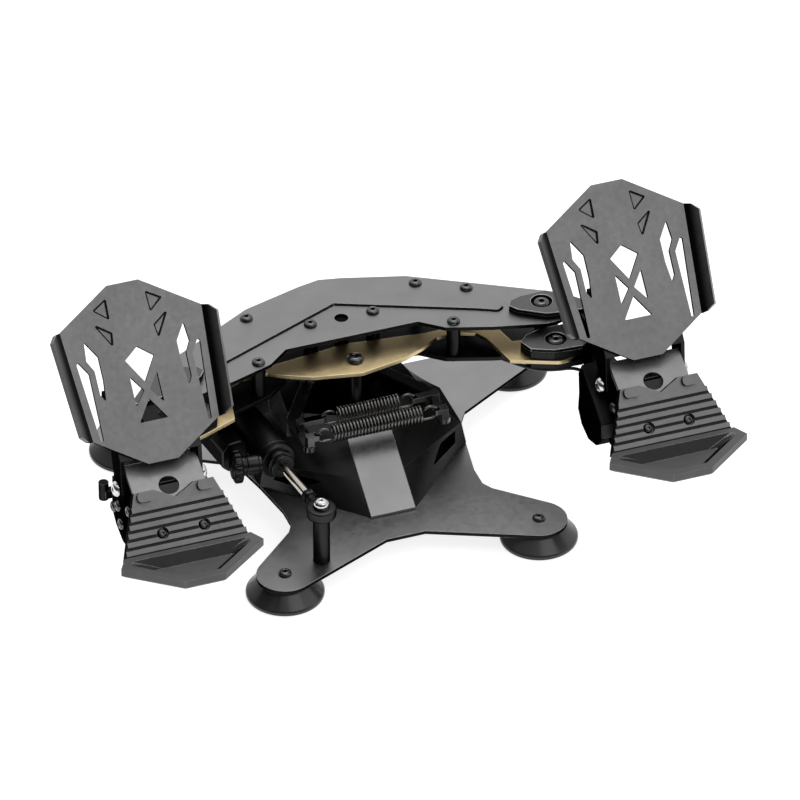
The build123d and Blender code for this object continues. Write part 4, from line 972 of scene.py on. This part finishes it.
        def hollows(rows: Array, around: Array) -> Array:
            """The hollows round the rim, none on the face."""
            return 1 - self.groove_depth * np.cos(around * self.grooves / 2) ** 16 * rim[rows]

        patch = turned(profile, self.knob_centre, self.knob_way, 120, hollows)
        self.join("ribbed_knob", [patch], [KNOB_BLACK], "knob", "knob_black", "adjuster_knob", 40)

    def build(self) -> None:
        """Make and dress the damper."""
        self.ball_joint()
        self.rod_end()
        self.bright_rod()
        self.barrel_body()
        self.knob()
        self.soften("damper_reservoir", "damper_barrel_body", "damper_grey", Dressing(DAMPER_BLACK, 1.2))


@dataclass
class Pedal(Assembly):
    """One pedal: foot plate, bracket, cheeks, heel rest, carrier and sensor module.

    Sign is -1 on the left and 1 on the right. A foot or head is where a surface starts or ends, as the y and
    z of its middle, or across and up for the flange. Each pivot screw is its y, its z and its length.
    """

    side: str
    sign: int
    lead_route: tuple = ((100, -37, 83.6), (114, -49, 80), (128, -57, 76.5), (141, -61, 76), (151, -67, 79.5),
                         (155.5, -78, 83), (152.5, -89, 86), (149, -98.3, 88))
    lead_diameter: float = 2.6
    middle: float = 180.4
    plate_tilt: float = 47.8
    plate_foot: tuple = (-137.3, 133.2)
    flange_foot: tuple = (46, 19.5)
    flange_head: tuple = (51.8, 98.5)
    flange_reach: float = 8.4
    block_foot: tuple = (-189.5, 90)
    block_lean: tuple = (0.7614, 0.6482)
    last_rib: float = 34.0
    heel_screw_x: float = 15.2
    heel_screw_rise: float = 14
    heel_screw_sink: float = 2
    cheek_face: float = 26.5
    cheek_screw_places: tuple = ((-143, 96), (-118.7, 84), (-124.8, 72.6), (-108, 76))
    pivot_x: float = 139
    pivot_screws: tuple = ((-36, 117.4, 41.4), (-65.5, 104, 15.5))
    toe_axle: tuple = (-128.2, 106.4)
    axle_half: float = 30.3
    axle_bright: float = 7
    pocket_rim: float = 1.3
    tray_top: float = 92.8
    plate_normal: Array = field(init=False)
    block_normal: Array = field(init=False)
    block_up: Array = field(init=False)

    def __post_init__(self) -> None:
        """Work out how the foot plate and the heel block lie."""
        tilt = math.radians(self.plate_tilt)
        self.plate_normal = np.array([0.0, -math.sin(tilt), math.cos(tilt)])
        sine, cosine = self.block_lean
        self.block_normal = np.array([0.0, -sine, cosine])
        self.block_up = np.array([0.0, cosine, sine])

    def seen_from(self, foot: Sequence[float], points: Array) -> Array:
        """Points in metres as millimetres from a foot's middle, which is given by its y and z."""
        return points / MM - (self.sign * self.middle, PIVOT_Y + foot[0], foot[1])

    def flange_faces(self, faces: Faces) -> Array:
        """The two flanges' faces, which lean about 40 degrees from the plate's, take the extra finish, with painted
        shade at the fold.
        """
        lean = np.abs(faces.normals @ self.plate_normal)
        return np.where((lean > 0.6) & (lean < 0.95), Place.EXTRA, faces.places)

    def grooves(self, faces: Faces) -> Array:
        """Sort the heel block's faces: the floors between the ribs take painted shade, darker than the ribs' tops.

        Args:
            faces: The block's faces.

        Returns:
            Each face's place.
        """
        local = self.seen_from(self.block_foot, faces.centres)
        floor = (faces.normals @ self.block_normal > 0.9) & (np.abs(local @ self.block_normal) < 0.3)
        # The groove floors take the walls' finish, a painted shade
        return np.where(floor & (local @ self.block_up < self.last_rib), Place.WALL, faces.places)

    def tray_walls(self, faces: Faces) -> Array:
        """The sloping walls inside the tray's rim take painted shade."""
        sloping = (faces.normals[:, 2] > 0.5) & (faces.normals[:, 2] < 0.9)
        return np.where(sloping & (faces.centres[:, 2] < self.tray_top * MM), Place.WALL, Place.FACE)

    def outline_pockets(self, mesh: bpy.types.Mesh) -> None:
        """Give each pocket's floor a rim of painted shade, as its shaded walls show in the photograph.

        Args:
            mesh: The foot plate's mesh.
        """
        normal = Vector(self.plate_normal)
        foot = Vector(shaft_frame((self.sign * self.middle, *self.plate_foot)))
        with opened(mesh) as work:
            floors = [face for face in work.faces if face.normal.dot(normal) > 0.99
                      and (face.calc_center_median() - foot).dot(normal) < -MM]
            # The inset rim takes the walls' finish, a painted shade
            for face in bmesh.ops.inset_individual(work, faces=floors, thickness=self.pocket_rim * MM)["faces"]:
                face.material_index = Place.WALL

    def screws(self) -> None:
        """Button screws in both cheeks, and the two small ones in the heel block's recesses."""
        cheek = ButtonScrew(head=4.15, socket=1.5, length=7, socket_depth=1.8)
        small = ButtonScrew(head=3.5, height=2.4, socket=1.2, shank=2, length=9, socket_depth=1.5)
        patches = [cheek.patch((self.sign * (self.middle + self.cheek_face), y, z), (self.sign, 0, 0))
                   for y, z in self.cheek_screw_places]
        patches.append(cheek.patch((self.sign * (self.middle - self.cheek_face), *self.cheek_screw_places[0]),
                                   (-self.sign, 0, 0)))
        seat = (np.array(self.block_foot) + self.block_up[1:] * self.heel_screw_rise
                - self.block_normal[1:] * self.heel_screw_sink)
        patches += [small.patch((self.sign * self.middle + x, *seat), self.block_normal)
                    for x in (-self.heel_screw_x, self.heel_screw_x)]
        self.join(f"{self.side}_button_screws", patches, [OXIDE], f"{self.side}_carrier", "screw_black",
                  f"{self.side}_cheek_screws")

    def mark_folds(self, mesh: bpy.types.Mesh) -> None:
        """Write how far each point lies out from its flange's fold: 0 on the fold, 1 at the flange's edge.

        The fold is the line from the flange's foot to its head in the plate's plane, and the distance is
        taken across it. The flange's finish paints shade by it, darkest at the fold.

        Args:
            mesh: The foot plate's mesh.
        """
        local = self.seen_from(self.plate_foot, read(mesh.vertices, "co"))
        rise = local @ (0.0, self.plate_normal[2], -self.plate_normal[1])
        run = unit(np.subtract(self.flange_head, self.flange_foot))
        out = (np.abs(local[:, 0]) - self.flange_foot[0]) * run[1] - (rise - self.flange_foot[1]) * run[0]
        fold = mesh.attributes.new("fold", "FLOAT", "POINT")
        fold.data.foreach_set("value", np.clip(out / self.flange_reach, 0, 1).astype(np.float32))

    def pivot_heads(self) -> None:
        """Domed socket screws of the two upright pivots, with their pins."""
        patches = []
        for y, z, length in self.pivot_screws:
            screw = ButtonScrew(head=6.2, height=3.5, socket=2.3, shank=5, length=length, socket_depth=2.3)
            patches.append(screw.patch((self.sign * self.pivot_x, y, z)))
        self.join(f"{self.side}_pivot_heads", patches, [OXIDE], f"{self.side}_carrier", "screw_black",
                  f"{self.side}_pivot_screws")

    def toe_bolt(self) -> None:
        """Toe axle with painted shade between the cheeks, and a bright domed socket head at each end."""
        centre = (self.sign * self.middle, *self.toe_axle)
        head = ButtonScrew(head=5.6, height=4, socket=2.1, shank=4, length=self.axle_bright, socket_depth=2.4)
        patches = [head.patch(np.add(centre, (way * self.axle_half, 0, 0)), (way, 0, 0)) for way in (1, -1)]
        reach = self.axle_half - self.axle_bright
        profile = [(0, -reach), (head.shank, -reach), (head.shank, reach), (0, reach)]
        # The axle between the cheeks takes the dark screw finish as painted shade
        patches.append(turned(profile, centre, (1, 0, 0), 36, place=1))
        self.join(f"{self.side}_toe_bolt", patches, [BRIGHT_STEEL, OXIDE], f"{self.side}_carrier", "bright_steel",
                  f"{self.side}_toe_axle")

    def lead(self) -> None:
        """The sensor's lead as one smooth spline, from the beam's underside into the module."""
        curve = bpy.data.curves.new(f"{self.side}_sensor_lead", "CURVE")
        curve.dimensions = "3D"
        spline = curve.splines.new("NURBS")
        route = shaft_frame([(self.sign * x, y, z) for x, y, z in self.lead_route])
        spline.points.add(len(route) - 1)
        spline.points.foreach_set("co", np.hstack([route, np.ones((len(route), 1))]).ravel())
        spline.use_endpoint_u = True
        spline.order_u = 3
        curve.bevel_depth = self.lead_diameter / 2 * MM
        curve.bevel_resolution = 4
        curve.use_fill_caps = True
        curve.materials.append(LEAD_SHEATH.material())
        lead = bpy.data.objects.new(curve.name, curve)
        bpy.context.scene.collection.objects.link(lead)
        self.keep(lead, f"{self.side}_carrier", "lead_black", f"{self.side}_brake_lead")

    def build(self) -> None:
        """Make and dress the pedal."""
        side, carrier = self.side, f"{self.side}_carrier"
        plate = self.soften(
            f"{side}_foot_plate", f"{side}_pedal", "foot_grey",
            Dressing(PEDAL_ANODISED, 0.35, PEDAL_EDGE_HIGHLIGHT, BLACK_AND_WALL_SHADE, self.plate_normal, extra=FLANGE_FOLD_SHADE),
            self.flange_faces)
        self.mark_folds(plate.data)
        self.outline_pockets(plate.data)
        self.soften(f"{side}_foot_bracket", f"{side}_pedal", "carrier_black", Dressing(SATIN_BLACK, 0.4))
        sheet = Dressing(CHEEK_ANODISED, 0.4, PEDAL_EDGE_HIGHLIGHT)
        cap = Dressing(CAP_ANODISED, 0.4, BEAM_EDGE_HIGHLIGHT, BLACK_AND_WALL_SHADE)
        carved = Dressing(SATIN_BLACK, 0.5)
        for node, slot, dressing in (
            ("outer_cheek", "cheek_grey", sheet),
            ("inner_cheek", "cheek_grey", sheet),
            ("carrier_body", "carrier_black", carved),
            ("rear_cap", "cap_grey", cap),
            ("front_cap", "cap_grey", cap),
            ("brake_module", "module_black", Dressing(SATIN_BLACK, 0.5, CHEEK_ANODISED)),
            ("heel_sheet", "heel_grey", Dressing(HEEL_ANODISED, 0.3, PEDAL_EDGE_HIGHLIGHT, crease=12)),
        ):
            self.soften(f"{side}_{node}", carrier, slot, dressing)
        self.soften(f"{side}_heel_block", carrier, "block_grey",
                    Dressing(HEEL_ANODISED, 0.3, PEDAL_EDGE_HIGHLIGHT, GROOVE_SHADE, self.block_normal), self.grooves)
        self.soften(f"{side}_heel_tray", carrier, "module_black",
                    Dressing(TRAY_ANODISED, 0.6, TRAY_EDGE_HIGHLIGHT, GROOVE_SHADE, crease=15), self.tray_walls)
        self.screws()
        self.pivot_heads()
        self.toe_bolt()
        self.lead()


@dataclass
class Studio:
    """Camera of the photograph, pale floor, white surround and soft lamps."""

    azimuth: float = -19.416
    elevation: float = 35.686
    distance: float = 6147.5
    pixels_per_mm: float = 1.4
    reference: tuple = (0.0, 0.0, 102.714)
    reference_pixel: tuple = (341.706, 331.534)
    picture: int = 800
    light_way: tuple = (0.45, 0.45, 0.75)
    light_ramp: tuple = ((0.0, 0.07), (0.12, 0.12), (0.24, 0.38), (0.37, 0.82), (0.6, 1.0))
    floor_span: float = 40.0
    floor_lift: float = 0.78
    floor_colour: tuple = (0.6, 0.6, 0.6, 1)
    soft_lamps: tuple = (("overhead", (0.5, 1.0, 2.6), 1.6, 16), ("front", (0.5, -1.4, 1.9), 1.4, 4))

    def camera(self) -> None:
        """Stand the camera where the photograph's was, aimed at what its middle shows."""
        azimuth, elevation = math.radians(self.azimuth), math.radians(self.elevation)
        back = np.array([math.sin(azimuth) * math.cos(elevation), -math.cos(azimuth) * math.cos(elevation),
                         math.sin(elevation)])
        right = np.array([math.cos(azimuth), math.sin(azimuth), 0.0])
        up = np.cross(back, right)
        focal = self.pixels_per_mm * self.distance
        across = (self.picture / 2 - self.reference_pixel[0]) / focal
        down = (self.picture / 2 - self.reference_pixel[1]) / focal
        aim = right * across - up * down - back
        data = bpy.data.cameras.new("camera")
        data.lens = focal / self.picture * data.sensor_width
        data.clip_start, data.clip_end = 0.1, 50
        camera = bpy.data.objects.new("camera", data)
        camera.location = shaft_frame(np.array(self.reference) + back * self.distance)
        camera.rotation_euler = Vector(aim).to_track_quat("-Z", "Y").to_euler()
        bpy.context.scene.collection.objects.link(camera)
        bpy.context.scene.camera = camera

    def surround(self) -> None:
        """A world whose light falls from bright above, behind and at the right to dim at the left and in front.

        Its strength is a ramp over 0.45 x + 0.45 y + 0.75 z of the direction looked in.
        """
        world = bpy.data.worlds.new("surround")
        bpy.context.scene.world = world
        world.use_nodes = True
        tree = world.node_tree
        coords = tree.nodes.new("ShaderNodeTexCoord")
        height = add_node(tree, "VectorMath", {0: coords.outputs["Generated"], 1: self.light_way},
                          operation="DOT_PRODUCT")
        ramp = add_node(tree, "ValToRGB", {"Fac": height.outputs["Value"]})
        ramp.color_ramp.interpolation = "EASE"
        ramp.color_ramp.elements.remove(ramp.color_ramp.elements[1])
        for place, (position, strength) in enumerate(self.light_ramp):
            element = ramp.color_ramp.elements[0] if place == 0 else ramp.color_ramp.elements.new(position)
            element.position = position
            element.color = (strength, strength, strength, 1)
        tree.links.new(ramp.outputs["Color"], tree.nodes["Background"].inputs["Color"])

    def floor(self) -> None:
        """A wide pale floor that shows white to the camera and in metal, and keeps the soft shadow."""
        corners = [(x * self.floor_span, y * self.floor_span, 0) for x, y in ((-1, -1), (1, -1), (1, 1), (-1, 1))]
        mesh = bpy.data.meshes.new("floor")
        mesh.from_pydata(corners, [], [(0, 1, 2, 3)])
        material = bpy.data.materials.new("floor_pale")
        material.use_nodes = True
        tree = material.node_tree
        shader = tree.nodes["Principled BSDF"]
        shader.inputs["Base Color"].default_value = self.floor_colour
        shader.inputs["Roughness"].default_value = 0.9
        shader.inputs["Specular IOR Level"].default_value = 0
        rays = tree.nodes.new("ShaderNodeLightPath").outputs
        seen = rays["Is Camera Ray"]
        for ray in ("Is Glossy Ray", "Is Transmission Ray"):
            seen = add_node(tree, "Math", {0: seen, 1: rays[ray]}, operation="MAXIMUM").outputs[0]
        lift = add_node(tree, "Math", {0: seen, 1: self.floor_lift}, operation="MULTIPLY")
        glow = add_node(tree, "Emission", {"Strength": lift.outputs[0]})
        both = add_node(tree, "AddShader", {0: shader.outputs[0], 1: glow.outputs[0]})
        tree.links.new(both.outputs[0], tree.nodes["Material Output"].inputs["Surface"])
        mesh.materials.append(material)
        floor = bpy.data.objects.new("floor", mesh)
        bpy.context.scene.collection.objects.link(floor)

    def lamps(self) -> None:
        """One large soft lamp overhead and behind, and a weaker one in front."""
        for name, place, size, power in self.soft_lamps:
            data = bpy.data.lights.new(name, "AREA")
            data.shape = "DISK"
            data.size = size
            data.energy = power
            lamp = bpy.data.objects.new(name, data)
            lamp.location = place
            lamp.rotation_euler = (Vector((0, 0, 0.1)) - Vector(place)).to_track_quat("-Z", "Y").to_euler()
            bpy.context.scene.collection.objects.link(lamp)

    def build(self) -> None:
        """Set the scene's colour handling and make everything round the object."""
        bpy.context.scene.view_settings.view_transform = "Standard"
        self.camera()
        self.surround()
        self.floor()
        self.lamps()


def main() -> None:
    """Build the studio and every sub-assembly."""
    logging.basicConfig(level=logging.INFO, format="%(name)s: %(message)s")
    Studio().build()
    groups = [Base(), Beam(), Centring(), Damper(), Pedal("left", -1), Pedal("right", 1)]
    for group in groups:
        group.build()
        log.info("%s: %d pieces", type(group).__name__, len(group.made))


if __name__ == "__main__":
    main()
